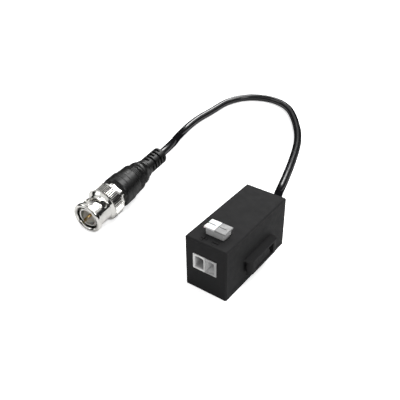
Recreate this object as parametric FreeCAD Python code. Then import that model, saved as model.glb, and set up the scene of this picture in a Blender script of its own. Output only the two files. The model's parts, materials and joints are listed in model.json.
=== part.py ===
import FreeCAD, Part
import math
import os

# Passive video balun: a small moulded box with a two pole push terminal at the front, a side clip that joins
# it to the next box, and a coaxial pigtail that ends in a bayonet plug lying on the table beside the box.
# Millimetres, +Z up. The origin is the centre of the box's underside, the terminal faces -Y and the clip +X.

Vector = FreeCAD.Vector
Rotation = FreeCAD.Rotation
Placement = FreeCAD.Placement

# Clearances and fits
moulding_gap = 0.10        # between moulded pieces that are pushed together
sliding_gap = 0.12         # around a button's stem
turning_gap = 0.06         # radial, between the coupling nut and what it turns on
lead_gap = 0.08            # radial, around a lead in its hole
cable_gap = 0.04           # radial, around the cable in a bush
end_gap = 0.10             # along the plug, between turning faces
overcut = 1.0              # how far a cutting shape runs on past what it cuts

# Housing
housing_width = 17.0
housing_length = 39.0
housing_height = 21.0
wall = 1.2
roof = 1.2
outer_chamfer = 0.45
rib_depth = 1.1
rib_width = 1.4
rib_places = (-2.0, 13.6)

# Base cover and the posts that carry the circuit board
cover_thickness = 1.4
snap_radius = 0.35
snap_depth = 0.18
snap_length = 8.0
post_size = 1.6
board_underside = 6.4

# Circuit board
board_thickness = 1.2
board_width = 11.6
board_gap = 0.15           # around the housing's ribs and tray, where the board is notched for them
board_front_gap = 0.3
board_length = 32.5

# Terminal: two poles side by side, the left one for plus and the right one for minus
terminal_centre = -0.3
bezel_bottom = 8.87
bezel_height = 6.2
bezel_proud = 0.15
pole_width = 4.8
pole_depth = 9.4
divider_half = 0.35
cell_width = 3.7
cell_height = 4.9
cell_arch = 0.35
throat_width = 3.5
throat_height = 4.6
throat_depth = 0.6
throat_centre = 11.9
shaft_floor = 8.4

# Push buttons
button_travel = 1.5
button_centre = 0.2
stem_width = 2.6
stem_length = 4.5
stem_front = 5.1           # from the housing's front face
shoulder_width = 3.5       # the stem where it shows, wider than in its shaft
shoulder_gap = 0.06        # from the line between the two buttons
shoulder_sink = 0.2        # from the roof's face down to the shoulder's lower end
shoulder_room = 0.1        # under the shoulder of a pressed button
window_gap = 0.35          # beside the shoulders, in the roof
head_width = 4.2
head_length = 5.0
head_thickness = 0.65
head_above_roof = 2.9
head_inner_gap = 0.06
head_edge_radius = 0.18
screwdriver_start = 0.45    # from the head's left edge, behind the notch
screwdriver_width = 0.35
screwdriver_length = 2.7
screwdriver_depth = 0.3
notch_length = 0.8
notch_depth = 0.3

# Clamp springs and contact bars
strip_width = 2.4
spring_thickness = 0.35
spring_top = 11.6
press_gap = 0.4            # between a pressed button and its spring
spring_foot_gap = 1.2
spring_fall = 1.1
spring_tip_back = 1.5
bar_thickness = 0.5
tail_width = 0.8
tail_below_board = 1.0

# Side clip and the slot that takes the next box's clip
clip_bottom = 5.0
clip_height = 5.7
clip_length = 18.3
clip_centre = 0.35
clip_reach = 3.0
clip_corner = 2.0
clip_gap = 1.2
clip_cap = 0.45
clip_undercut = 1.5
clip_rim = 0.77
pocket_front_rim = 3.3
pocket_back_rim = 3.1
tongue_sink = 0.45
tongue_end_gap = 1.4
tongue_round = 0.85        # the radius of the tongue's upper end, as a share of the tongue's height
pocket_depth = 2.3
box_spacing = 1.4          # gap between two joined boxes
slot_gap = 0.2
slot_wall = 0.7

# Cable
cable_diameter = 3.6
exit_height = 10.0
cable_run_out = 10.0       # straight ahead of the rear wall before the cable turns down to the table
cable_run_in = 10.5        # straight behind the boot
cable_route = (            # where it lies on the table
    (-8.1, 43.5), (-11.9, 57.3), (-17.7, 75.5), (-24.8, 93.8), (-35.6, 110.1), (-46.6, 122.2),
    (-59.2, 125.6), (-71.2, 120.5), (-77.5, 109.0), (-77.4, 94.5), (-78.4, 79.9), (-75.0, 60.9),
)
run_share = 0.45           # an arc's tangent length, as a share of the shorter run beside it

# Bush where the cable leaves the housing
bush_bore_radius = 2.5
bush_flange_radius = 3.4
bush_flange = 1.0
bush_nose_radius = 2.35
bush_nose = 2.0
cable_inside = 1.8         # the cable's cut end, ahead of the bush

# Parts on the board
core_outer_radius = 4.4
core_inner_radius = 2.2
core_height = 3.8
core_place = 2.2
winding_thickness = 0.5
winding_sweep = 132.0
winding_turns = 9
turn_groove = 0.18
disc_radius = 2.4
disc_thickness = 2.0
disc_edge = 0.55
disc_place = (-2.6, -5.7)
arrester_radius = 1.6
arrester_length = 4.2
arrester_waist_radius = 1.4
arrester_waist = 2.1
arrester_place = (2.9, -5.7)
lead_radius = 0.25
lead_spacing = 2.54
lead_rise = 1.2            # above the board, into the part's body
core_lead_radius = 0.35
shield_lead_radius = 0.55
lead_drop = 3.0            # from the cable's cut end to where its leads turn down

# Plug: how it lies. Its front rim and its knurled ring rest on the table, which sets the tilt.
plug_mouth = (-57.7, -18.9)
plug_yaw = 4.0

# Plug: coupling nut. Lengths run back from the mouth.
rim_radius = 6.55
rim_length = 1.8
rim_chamfer = 0.45
sleeve_radius = 5.8
sleeve_bore_radius = 4.9
knurl_start = 9.8
knurl_end = 14.4
knurl_radius = 7.25
knurl_depth = 0.28
knurl_count = 60
cone_start = 8.6           # where the sleeve begins to widen towards the knurled ring
cone_radius = 6.7
nut_end = 16.0
nut_end_radius = 6.1
nut_end_bevel = 0.7
stud_width = 2.15
channel_radius = 5.5
ramp_start = 4.3
ramp_end = 6.7
ramp_turn = 66.0
detent_radius = 1.55
detent_place = 6.5
detent_angle = 50.0        # round from +X towards +Z
sleeve_cut = 3.0           # how deep the bayonet's cutting shapes run through the sleeve

# Plug: body, contacts and seals
contact_outer_radius = 4.05
contact_inner_radius = 3.55
contact_front = 0.9
contact_edge = 0.15
contact_taper = 0.4
contact_slot = 0.45
contact_slot_end = 5.4
flange_start = 8.0
flange_end = 9.4
flange_radius = 4.75
neck_radius = 4.04
body_end = 24.0
stem_outer_radius = 2.6
core_radius = 1.1
pin_radius = 0.675
pin_front = 1.3
pin_tip_radius = 0.3
pin_taper = 0.9
pin_shoulder_radius = 1.2
pin_shoulder = (8.6, 11.0)
pin_end = 20.0
insulator_front = 5.6
insulator_end = 17.2
gasket_length = 0.8
gasket_edge = 0.15
washer_thickness = 0.45
wave_thickness = 0.3
wave_height = 1.1
wave_count = 3
wave_steps = 8             # straight pieces in each wave
clamp_start = 16.4
clamp_end = 18.1
clamp_radius = 5.6
clamp_chamfer = 0.3
clamp_flats = 5.2
clamp_flat_count = 6
clamp_spigot_radius = 5.0

# Plug: crimp ferrule and rubber boot
ferrule_start = 24.6
ferrule_end = 46.0
ferrule_radius = 2.45
ferrule_flare = 0.2
jacket_in_ferrule = 4.0
boot_start = 18.1
boot_start_radius = 6.2
boot_front = 18.8
boot_end = 50.0
boot_edge = 0.3
boot_front_radius = 6.75
boot_step = 24.0
boot_step_radius = 6.35
boot_shoulder = 31.1
boot_shoulder_radius = 6.0
boot_neck = (32.7, 33.4)
boot_neck_radius = 4.75
boot_second = (33.7, 34.8)
boot_second_radius = 5.2
boot_second_end = 37.3
boot_second_end_radius = 4.1
boot_seam = 21.4
seam_width = 0.3
seam_depth = 0.15
grip_groove_first = 27.9
grip_groove_pitch = 0.75
grip_groove_count = 5
grip_groove_width = 0.4
grip_groove_depth = 0.2
bead_end = 38.3
relief_start = 38.7
relief_radius = 3.7
relief_groove_radius = 3.05
relief_groove_first = 39.9
relief_groove_pitch = 1.95
relief_groove_count = 5
relief_groove_width = 0.95
relief_bridge = 1.5


def block(x_range, y_range, z_range):
    """A box between two values along each axis."""
    corner = Vector(x_range[0], y_range[0], z_range[0])
    return Part.makeBox(x_range[1] - x_range[0], y_range[1] - y_range[0], z_range[1] - z_range[0], corner)


def centred(middle, size):
    """The two ends of a span of this size about its middle."""
    return (middle - size / 2, middle + size / 2)


def cylinder(radius, start, direction, length):
    """A cylinder from a start point along a direction."""
    return Part.makeCylinder(radius, length, Vector(*start), Vector(*direction))


def face_of(points):
    """A flat face inside a closed outline of straight edges."""
    corners = [Vector(*point) for point in points]
    return Part.Face(Part.makePolygon(corners + corners[:1]))


def turned(profile):
    """A solid of revolution about the plug's axis, from (distance back from the mouth, radius) pairs."""
    outline = face_of([(radius, place, 0) for place, radius in profile])
    return outline.revolve(Vector(0, 0, 0), Vector(0, 1, 0), 360)


def ring(inner, outer, start, end):
    """A plain ring about the plug's axis."""
    return turned([(start, inner), (start, outer), (end, outer), (end, inner)])


def rounded_path(points):
    """Straight runs joined by tangent arcs, each as large as the two runs beside it allow."""
    edges = []
    radii = []
    start = points[0]
    for before, corner, after in zip(points, points[1:], points[2:]):
        back = before - corner
        ahead = after - corner
        tangent = run_share * min(back.Length, ahead.Length)
        half_turn = (math.pi - back.getAngle(ahead)) / 2
        radius = tangent / math.tan(half_turn)
        back.normalize()
        ahead.normalize()
        entry = corner + back * tangent
        leave = corner + ahead * tangent
        middle_way = (back + ahead).normalize()
        middle = corner + middle_way * (radius / math.cos(half_turn) - radius)
        edges.append(Part.LineSegment(start, entry).toShape())
        edges.append(Part.Arc(entry, middle, leave).toShape())
        radii.append(radius)
        start = leave
    edges.append(Part.LineSegment(start, points[-1]).toShape())
    return Part.Wire(edges), radii


def tube(points, diameter):
    """A round tube along a rounded path, with the radii of its bends and the path's length."""
    path, radii = rounded_path(points)
    section = Part.Wire(Part.makeCircle(diameter / 2, points[0], points[1] - points[0]))
    return path.makePipeShell([section], True, False), radii, path.Length


def plug_tilt():
    """The angle at which the front rim and the front edge of the knurled ring both touch the table."""
    return math.degrees(math.atan2(knurl_radius - rim_radius, knurl_start - rim_chamfer))


def plug_placement():
    """Where the plug's own frame lies: its mouth at the origin and its axis running back along +Y."""
    tilt = math.radians(plug_tilt())
    height = rim_radius * math.cos(tilt) - rim_chamfer * math.sin(tilt)
    turn = Rotation(Vector(0, 0, 1), plug_yaw).multiply(Rotation(Vector(1, 0, 0), plug_tilt()))
    return Placement(Vector(plug_mouth[0], plug_mouth[1], height), turn)


def nut_flange():
    """Where the front of the nut's inner flange lies: behind the body's flange and the two washers."""
    return flange_end + wave_height + washer_thickness + 2 * end_gap


def route_points():
    """The cable's route: out of the rear wall, round on the table and into the back of the boot."""
    rear = housing_length / 2
    start = rear - wall - bush_flange - cable_inside
    points = [Vector(0, start, exit_height), Vector(0, rear + cable_run_out, exit_height)]
    points += [Vector(x, y, cable_diameter / 2) for x, y in cable_route]
    plug = plug_placement()
    for place in (boot_end + cable_run_in, ferrule_end - jacket_in_ferrule):
        points.append(plug.multVec(Vector(0, place, 0)))
    return points


def clip_plan(grow):
    """The side clip's outline seen from above, with its two outer corners rounded, grown all round."""
    face = housing_width / 2
    reach = face + clip_reach + grow
    front, back = centred(clip_centre, clip_length + 2 * grow)
    radius = clip_corner + grow
    dip = radius * (1 - math.sqrt(0.5))
    corners = [
        Vector(face - wall / 2, front, 0), Vector(reach - radius, front, 0),
        Vector(reach - dip, front + dip, 0), Vector(reach, front + radius, 0),
        Vector(reach, back - radius, 0), Vector(reach - dip, back - dip, 0),
        Vector(reach - radius, back, 0), Vector(face - wall / 2, back, 0),
    ]
    edges = [
        Part.LineSegment(corners[0], corners[1]).toShape(), Part.Arc(*corners[1:4]).toShape(),
        Part.LineSegment(corners[3], corners[4]).toShape(), Part.Arc(*corners[4:7]).toShape(),
        Part.LineSegment(corners[6], corners[7]).toShape(),
        Part.LineSegment(corners[7], corners[0]).toShape(),
    ]
    return Part.Face(Part.Wire(edges))


def side_clip():
    """The clip: a plate on a shorter neck, closed above by a cap, with a sunk tongue in its outer face."""
    face = housing_width / 2
    front, back = centred(clip_centre, clip_length)
    top = clip_bottom + clip_height
    plan = clip_plan(0)
    plan.translate(Vector(0, 0, clip_bottom))
    clip = plan.extrude(Vector(0, 0, clip_height))
    gap_x = (face, face + clip_gap)
    gap_z = (clip_bottom - overcut, top - clip_cap)
    clip = clip.cut(block(gap_x, (front - overcut, front + clip_undercut), gap_z))
    clip = clip.cut(block(gap_x, (back - clip_undercut, back + overcut), gap_z))
    pocket_y = (front + pocket_front_rim, back - pocket_back_rim)
    pocket_z = (clip_bottom + clip_rim, top - clip_rim)
    outer = face + clip_reach
    pocket = block((outer - pocket_depth, outer + overcut), pocket_y, pocket_z)
    tongue_y = (pocket_y[0], pocket_y[1] - tongue_end_gap)
    tongue = block((outer - pocket_depth, outer - tongue_sink), tongue_y, pocket_z)
    end = [edge for edge in tongue.Edges if is_upper_end(edge, tongue_y[1], pocket_z[1])]
    tongue = tongue.makeFillet(tongue_round * (pocket_z[1] - pocket_z[0]), end)
    return clip.cut(pocket.cut(tongue))


def is_upper_end(edge, y, z):
    """Whether an edge runs along X at this place."""
    middle = edge.CenterOfMass
    return abs(middle.y - y) < 1e-6 and abs(middle.z - z) < 1e-6


def side_slot():
    """The blind slot in the left wall that takes the next box's clip."""
    shift = Vector(-housing_width - box_spacing, 0, 0)
    slot = clip_plan(slot_gap)
    slot.translate(shift + Vector(0, 0, clip_bottom - slot_gap))
    return slot.extrude(Vector(0, 0, clip_height + 2 * slot_gap))


def slot_tray(grow):
    """The tray of wall behind the side slot, grown by a clearance."""
    face = -housing_width / 2
    depth = clip_reach - box_spacing + slot_gap
    border = slot_gap + slot_wall + grow
    tray_y = centred(clip_centre, clip_length + 2 * border)
    tray_z = (clip_bottom - border, clip_bottom + clip_height + border)
    return block((face + wall / 2, face + depth + slot_wall + grow), tray_y, tray_z)


def wall_ribs(grow):
    """The upright ribs inside the two long walls, grown by a clearance."""
    half_width = housing_width / 2
    rib_z = (cover_thickness, housing_height - roof / 2)
    ribs = []
    for side in (-1, 1):
        root = side * (half_width - wall / 2)
        tip = side * (half_width - wall - rib_depth - grow)
        for place in rib_places:
            ribs.append(block(sorted((root, tip)), centred(place, rib_width + 2 * grow), rib_z))
    return ribs


def stem_span():
    """Where a button's stem lies along Y."""
    front = -housing_length / 2 + stem_front
    return (front, front + stem_length)


def window_spans():
    """The front window for the terminal's bezel and the roof window for the two buttons."""
    front_x = centred(terminal_centre, 2 * pole_width + 2 * moulding_gap)
    front_z = (bezel_bottom - moulding_gap, bezel_bottom + bezel_height + moulding_gap)
    roof_x = centred(button_centre, 2 * (shoulder_gap + shoulder_width + window_gap))
    ahead, behind = stem_span()
    roof_y = (ahead - 2 * sliding_gap, behind + 2 * sliding_gap)
    return front_x, front_z, roof_x, roof_y


def housing():
    """The moulded shell: four walls and a roof, open underneath, with its clip, slot, windows and ribs."""
    half_width = housing_width / 2
    half_length = housing_length / 2
    outside = block((-half_width, half_width), (-half_length, half_length), (0, housing_height))
    sharp = [edge for edge in outside.Edges if edge.CenterOfMass.z > outer_chamfer]
    outside = outside.makeChamfer(outer_chamfer, sharp)
    inner_x = (-half_width + wall, half_width - wall)
    inner_y = (-half_length + wall, half_length - wall)
    shell = outside.cut(block(inner_x, inner_y, (-overcut, housing_height - roof)))
    shell = shell.fuse([slot_tray(0), side_clip()] + wall_ribs(0))
    front_x, front_z, roof_x, roof_y = window_spans()
    front_y = (-half_length - overcut, -half_length + wall + overcut)
    roof_z = (housing_height - roof - overcut, housing_height + overcut)
    bush_start = (0, half_length - wall - overcut, exit_height)
    cuts = [
        side_slot(), block(front_x, front_y, front_z), block(roof_x, roof_y, roof_z),
        cylinder(bush_bore_radius, bush_start, (0, 1, 0), wall + 2 * overcut),
    ]
    for side in (-1, 1):
        cuts.append(snap_bead(side, snap_radius + moulding_gap / 2))
    return shell.cut(cuts).removeSplitter()


def snap_bead(side, radius):
    """The round bead by which the cover snaps into a long wall, or the groove for it when it is larger."""
    centre_x = side * (housing_width / 2 - wall + snap_depth - snap_radius)
    start = (centre_x, -snap_length / 2, cover_thickness / 2)
    return cylinder(radius, start, (0, 1, 0), snap_length)


def base_cover():
    """The cover that closes the underside, with two snap beads and four posts under the circuit board."""
    inner_width = housing_width - 2 * wall - 2 * moulding_gap
    inner_length = housing_length - 2 * wall - 2 * moulding_gap
    cover = block(centred(0, inner_width), centred(0, inner_length), (0, cover_thickness))
    for side in (-1, 1):
        cover = cover.fuse(snap_bead(side, snap_radius))
    front, back = board_span()
    for x in (-1, 1):
        for y in (front + 2 * post_size, back - 2 * post_size):
            post_x = centred(x * (board_width / 2 - post_size), post_size)
            post = block(post_x, centred(y, post_size), (cover_thickness / 2, board_underside))
            cover = cover.fuse(post)
    return cover.removeSplitter()


def board_span():
    """Where the circuit board lies along Y."""
    front = -housing_length / 2 + wall + board_front_gap
    return (front, front + board_length)


def board_top():
    """The height of the circuit board's upper face."""
    return board_underside + board_thickness


def pole_middle(side):
    """The middle of one pole's wire cell along X."""
    return terminal_centre + side * (divider_half + cell_width / 2)


def stem_foot():
    """The height of a button's lower end, clear of the spring when the button is pressed."""
    return spring_top + press_gap + button_travel


def stem_middle(side):
    """The middle of one button's stem along X."""
    return terminal_centre + side * (divider_half + sliding_gap + stem_width / 2)


def shaft_span():
    """The shaft behind the wire cell, in which the stem, the spring and the contact bar sit."""
    front, back = stem_span()
    return (front - sliding_gap, back + sliding_gap)


def tail_place():
    """Where a contact bar's solder tail lies along Y."""
    return shaft_span()[1] - bar_thickness / 2 - sliding_gap


def lead_holes():
    """The lead places of the disc capacitor and the surge arrester on the board."""
    places = []
    for x, y in (disc_place, arrester_place):
        places.append((x, y - lead_spacing / 2))
        places.append((x, y + lead_spacing / 2))
    return places


def circuit_board():
    """The board, with slots for the solder tails, holes for the leads and notches round what it passes."""
    board = block(centred(0, board_width), board_span(), (board_underside, board_top()))
    cuts = [slot_tray(board_gap)] + wall_ribs(board_gap)
    for side in (-1, 1):
        slot_x = centred(stem_middle(side), tail_width + 2 * lead_gap)
        slot_y = centred(tail_place(), bar_thickness + 2 * lead_gap)
        cuts.append(block(slot_x, slot_y, (board_underside - overcut, board_top() + overcut)))
    for x, y in lead_holes():
        start = (x, y, board_underside - overcut)
        cuts.append(cylinder(lead_radius + lead_gap, start, (0, 0, 1), board_thickness + 2 * overcut))
    return board.cut(cuts)


def cell_mouth(side, y, width, bottom, height, arch):
    """The closed outline of a wire cell across the pole, flat below and arched above."""
    left, right = centred(pole_middle(side), width)
    top = bottom + height
    corners = [Vector(left, y, bottom), Vector(right, y, bottom), Vector(right, y, top - arch)]
    crown = Vector((left + right) / 2, y, top)
    end = Vector(left, y, top - arch)
    floor = Part.LineSegment(corners[0], corners[1]).toShape()
    side_wall = Part.LineSegment(corners[1], corners[2]).toShape()
    ceiling = Part.Arc(corners[2], crown, end).toShape()
    return Part.Wire([floor, side_wall, ceiling, Part.LineSegment(end, corners[0]).toShape()])


def shoulder_bottom():
    """The height at which a button's stem widens, a little below the roof's face."""
    return housing_height - shoulder_sink


def terminal_pole(side):
    """One pole's housing: a bezel through the front window, a wire cell and the shaft behind it."""
    half_length = housing_length / 2
    inner, outer = sorted((terminal_centre, terminal_centre + side * pole_width))
    front = -half_length + wall
    body = block((inner, outer), (front, front + pole_depth), (board_top(), housing_height - roof))
    face = -half_length - bezel_proud
    bezel = block((inner, outer), (face, front + wall), (bezel_bottom, bezel_bottom + bezel_height))
    body = body.fuse(bezel)
    mouth_bottom = bezel_bottom + (bezel_height - cell_height) / 2
    mouth = cell_mouth(side, face, cell_width, mouth_bottom, cell_height, cell_arch)
    throat_bottom = throat_centre - throat_height / 2
    throat = cell_mouth(side, face + throat_depth, throat_width, throat_bottom, throat_height, cell_arch)
    funnel = Part.makeLoft([mouth, throat], True, True)
    shaft_y = shaft_span()
    passage = Part.Face(throat).extrude(Vector(0, shaft_y[0] - face - throat_depth + wall, 0))
    shaft_x = centred(stem_middle(side), stem_width + 2 * sliding_gap)
    shaft = block(shaft_x, shaft_y, (shaft_floor, housing_height))
    tail_x = centred(stem_middle(side), tail_width + 2 * lead_gap)
    tail_y = centred(tail_place(), bar_thickness + 2 * lead_gap)
    tail_slot = block(tail_x, tail_y, (board_top() - overcut, shaft_floor + overcut))
    roof_x, roof_y = window_spans()[2:]
    room_floor = shoulder_bottom() - button_travel - shoulder_room
    room = block(roof_x, roof_y, (room_floor, housing_height))
    return body.cut([funnel, passage, shaft, tail_slot, room])


def push_button(side):
    """One button: a stem, its wider shoulder and a head, both heads with the slot and notch to the left."""
    front, back = stem_span()
    top = housing_height + head_above_roof
    under_head = top - head_thickness
    stem = block(centred(stem_middle(side), stem_width), (front, back), (stem_foot(), under_head))
    root = button_centre + side * shoulder_gap
    shoulder_x = sorted((root, root + side * shoulder_width))
    shoulder = block(shoulder_x, (front, back), (shoulder_bottom(), under_head))
    inner = button_centre + side * head_inner_gap
    left, right = sorted((inner, inner + side * head_width))
    middle = (front + back) / 2
    head = block((left, right), centred(middle, head_length), (under_head, top))
    rims = [edge for edge in head.Edges if edge.CenterOfMass.z > top - head_edge_radius]
    head = head.makeFillet(head_edge_radius, rims)
    slot_x = (left + screwdriver_start, left + screwdriver_start + screwdriver_length)
    slot = block(slot_x, centred(middle, screwdriver_width), (top - screwdriver_depth, top + overcut))
    notch_z = (under_head - overcut, top + overcut)
    notch = block((left - overcut, left + notch_depth), centred(middle, notch_length), notch_z)
    return stem.fuse([shoulder, head.cut([slot, notch])]).removeSplitter()


def contact_bar(side):
    """The tinned bar on the shaft's floor, with a tail that goes down through the board."""
    shaft_y = shaft_span()
    bar_y = (shaft_y[0] + sliding_gap, shaft_y[1] - sliding_gap)
    bar = block(centred(stem_middle(side), strip_width), bar_y, (shaft_floor, shaft_floor + bar_thickness))
    tail_y = centred(tail_place(), bar_thickness)
    tail_z = (board_underside - tail_below_board, shaft_floor + bar_thickness / 2)
    tail = block(centred(stem_middle(side), tail_width), tail_y, tail_z)
    return bar.fuse(tail).removeSplitter()


def clamp_spring(side):
    """The bent strip that grips the wire: up the shaft's rear wall, over, and down to the contact bar."""
    back = shaft_span()[1] - sliding_gap
    foot = shaft_floor + bar_thickness
    front = shaft_span()[0] + 2 * sliding_gap
    x = stem_middle(side)
    left, right = centred(x, strip_width)
    start = front + spring_foot_gap
    middle = spring_thickness / 2
    path, radii = rounded_path([
        Vector(x, start, foot + middle), Vector(x, back - middle, foot + middle),
        Vector(x, back - middle, spring_top - middle), Vector(x, front + middle, spring_top - spring_fall),
        Vector(x, front + spring_tip_back, foot + 2 * spring_thickness + middle),
    ])
    section = face_of([
        (left, start, foot), (right, start, foot),
        (right, start, foot + spring_thickness), (left, start, foot + spring_thickness),
    ])
    return path.makePipeShell([section.OuterWire], True, False)


def toroid_core():
    """The ferrite ring of the choke, lying flat in its windings."""
    bottom = board_top() + winding_thickness
    outer = cylinder(core_outer_radius, (0, core_place, bottom), (0, 0, 1), core_height)
    hole_start = (0, core_place, bottom - overcut)
    return outer.cut(cylinder(core_inner_radius, hole_start, (0, 0, 1), core_height + 2 * overcut))


def winding(side):
    """One winding, its middle towards this side: a sleeve on the ring, with a groove between the turns."""
    inner = core_inner_radius - winding_thickness
    outer = core_outer_radius + winding_thickness
    low = board_top()
    high = low + core_height + 2 * winding_thickness
    middle = Vector(0, core_place, 0)
    section = face_of([
        (inner, core_place, low), (outer, core_place, low), (outer, core_place, high),
        (inner, core_place, high),
    ])
    start = math.degrees(math.atan2(0, side)) - winding_sweep / 2
    section.rotate(middle, Vector(0, 0, 1), start)
    sleeve = section.revolve(middle, Vector(0, 0, 1), winding_sweep)
    ring_start = (0, core_place, low + winding_thickness)
    hollow = cylinder(core_outer_radius + cable_gap, ring_start, (0, 0, 1), core_height)
    post = cylinder(core_inner_radius - cable_gap, ring_start, (0, 0, 1), core_height)
    grooves = []
    for index in range(1, winding_turns):
        angle = start + index * winding_sweep / winding_turns
        groove_x = (outer - turn_groove, outer + overcut)
        groove = block(groove_x, centred(0, turn_groove), (low - overcut, high + overcut))
        groove.rotate(Vector(0, 0, 0), Vector(0, 0, 1), angle)
        groove.translate(middle)
        grooves.append(groove)
    return sleeve.cut(hollow.cut(post)).cut(grooves)


def leaded(body, place):
    """A board part's body with its two straight leads through the board."""
    x, y = place
    for offset in (-lead_spacing / 2, lead_spacing / 2):
        start = (x, y + offset, board_underside - tail_below_board)
        length = board_top() + lead_rise - start[2]
        body = body.fuse(cylinder(lead_radius, start, (0, 0, 1), length))
    return body.removeSplitter()


def disc_capacitor():
    """A ceramic disc capacitor that stands on the board."""
    x, y = disc_place
    start = (x - disc_thickness / 2, y, board_top() + disc_radius)
    disc = cylinder(disc_radius, start, (1, 0, 0), disc_thickness)
    disc = disc.makeChamfer(disc_edge, [edge for edge in disc.Edges if edge.Closed and edge.isClosed()])
    return leaded(disc, disc_place)


def surge_arrester():
    """A small gas tube that lies on the board with its end caps along Y."""
    half = arrester_length / 2
    waist = arrester_waist / 2
    body = turned([
        (-half, 0), (-half, arrester_radius), (-waist, arrester_radius), (-waist, arrester_waist_radius),
        (waist, arrester_waist_radius), (waist, arrester_radius), (half, arrester_radius), (half, 0),
    ])
    x, y = arrester_place
    body.translate(Vector(x, y, board_top() + arrester_radius))
    return leaded(body, arrester_place)


def inner_lead(side, radius):
    """A stripped lead from the cable's cut end, ahead and then down to its pad on the board."""
    start = route_points()[0]
    x = side * (cable_diameter / 2 - shield_lead_radius)
    corner = start.y - lead_drop
    way = [Vector(x, start.y, start.z), Vector(x, corner, start.z), Vector(x, corner, board_top())]
    return tube(way, 2 * radius)[0]


def cable_bush():
    """The moulded bush that holds the cable in the rear wall, with a flange on each side and a nose."""
    rear = housing_length / 2
    bore = cable_diameter / 2 + cable_gap
    neck = bush_bore_radius - moulding_gap / 2
    inside = rear - wall
    start = inside - bush_flange
    flange_back = rear + bush_flange
    end = flange_back + bush_nose
    bush = turned([
        (start, bore), (start, bush_flange_radius - moulding_gap), (inside, bush_flange_radius),
        (inside, neck), (rear, neck), (rear, bush_flange_radius),
        (flange_back, bush_flange_radius - moulding_gap), (flange_back, bush_nose_radius + moulding_gap),
        (end, bush_nose_radius), (end, bore),
    ])
    bush.translate(Vector(0, 0, exit_height))
    return bush


def radial(shape, angle):
    """A shape made along +X from the plug's axis, turned round that axis from +X towards +Z."""
    shape.rotate(Vector(0, 0, 0), Vector(0, 1, 0), -angle)
    return shape


def bayonet_ramp():
    """The helical slot of the bayonet, cut right through the sleeve, for one of the two studs."""
    rise = ramp_end - ramp_start
    pitch = rise * 360 / ramp_turn
    helix = Part.makeHelix(pitch, rise, channel_radius)
    inner, outer = sleeve_bore_radius - overcut, sleeve_radius + overcut
    low, high = centred(0, stud_width)
    section = face_of([(inner, 0, low), (outer, 0, low), (outer, 0, high), (inner, 0, high)])
    ramp = Part.Wire(helix.Edges).makePipeShell([section.OuterWire], True, True)
    ramp.rotate(Vector(0, 0, 0), Vector(1, 0, 0), -90)
    ramp.translate(Vector(0, ramp_start, 0))
    return ramp


def coupling_nut():
    """The bayonet nut: a rimmed sleeve with two J shaped slots and a knurled ring."""
    neck = neck_radius + turning_gap
    root = knurl_radius - knurl_depth
    profile = [
        (0, sleeve_bore_radius + rim_chamfer), (0, rim_radius - rim_chamfer), (rim_chamfer, rim_radius),
        (rim_length, rim_radius), (rim_length, sleeve_radius), (cone_start, sleeve_radius),
        (knurl_start, cone_radius), (knurl_start, root), (nut_end - nut_end_bevel, root),
        (nut_end, nut_end_radius), (nut_end, neck), (nut_flange(), neck),
        (nut_flange(), sleeve_bore_radius), (rim_chamfer, sleeve_bore_radius),
    ]
    nut = turned(profile).fuse(knurl_ring()).removeSplitter()
    inside = sleeve_bore_radius - overcut
    entry_angle = detent_angle + ramp_turn
    for turn in (0, 180):
        channel = block((inside, channel_radius), (-overcut, ramp_start), centred(0, stud_width))
        entry = cylinder(stud_width / 2, (inside, ramp_start, 0), (1, 0, 0), sleeve_cut)
        detent = cylinder(detent_radius, (inside, detent_place, 0), (1, 0, 0), sleeve_cut)
        nut = nut.cut(radial(channel, entry_angle + turn))
        nut = nut.cut(radial(entry, entry_angle + turn))
        nut = nut.cut(radial(detent, detent_angle + turn))
        nut = nut.cut(radial(bayonet_ramp(), entry_angle + turn))
    return nut


def knurl_ring():
    """The knurled band: straight ridges all round, as a toothed outline carried along the axis."""
    points = []
    for index in range(2 * knurl_count):
        angle = math.pi * index / knurl_count
        radius = knurl_radius - knurl_depth * (index % 2)
        points.append((radius * math.cos(angle), knurl_start, radius * math.sin(angle)))
    band = face_of(points).extrude(Vector(0, knurl_end - knurl_start, 0))
    return band.cut(cylinder(knurl_radius - 2 * knurl_depth, (0, 0, 0), (0, 1, 0), nut_end))


def plug_body():
    """The nickelled body: slotted outer contact, retaining flange, neck for the nut and crimp stem."""
    bore = contact_inner_radius
    core_bore = core_radius + lead_gap
    taper_end = contact_front + contact_taper
    body = turned([
        (contact_front, bore + contact_edge), (contact_front, contact_outer_radius - contact_edge),
        (taper_end, contact_outer_radius), (flange_start, contact_outer_radius),
        (flange_start, flange_radius), (flange_end, flange_radius), (flange_end, neck_radius),
        (clamp_end, neck_radius), (clamp_end, stem_outer_radius), (body_end, stem_outer_radius),
        (body_end, core_bore), (insulator_end, core_bore), (insulator_end, bore), (taper_end, bore),
    ])
    slots = []
    across = centred(0, 2 * contact_outer_radius + overcut)
    for angle in (0, 90):
        slot = block(across, (0, contact_slot_end), centred(0, contact_slot))
        slots.append(radial(slot, angle + detent_angle))
    return body.cut(slots)


def insulator():
    """The white insulator that holds the centre pin on the plug's axis."""
    bore = pin_radius + cable_gap
    outer = contact_inner_radius - cable_gap
    wide = pin_shoulder_radius + cable_gap
    early, late = pin_shoulder
    return turned([
        (insulator_front, bore), (insulator_front, outer), (insulator_end - cable_gap, outer),
        (insulator_end - cable_gap, bore), (late + cable_gap, bore), (late + cable_gap, wide),
        (early - cable_gap, wide), (early - cable_gap, bore),
    ])


def centre_pin():
    """The centre pin, with a tapered tip, a shoulder held by the insulator and a solder end."""
    early, late = pin_shoulder
    return turned([
        (pin_front, 0), (pin_front, pin_tip_radius), (pin_front + pin_taper, pin_radius),
        (early, pin_radius), (early, pin_shoulder_radius), (late, pin_shoulder_radius), (late, pin_radius),
        (pin_end, pin_radius), (pin_end, 0),
    ])


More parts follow.
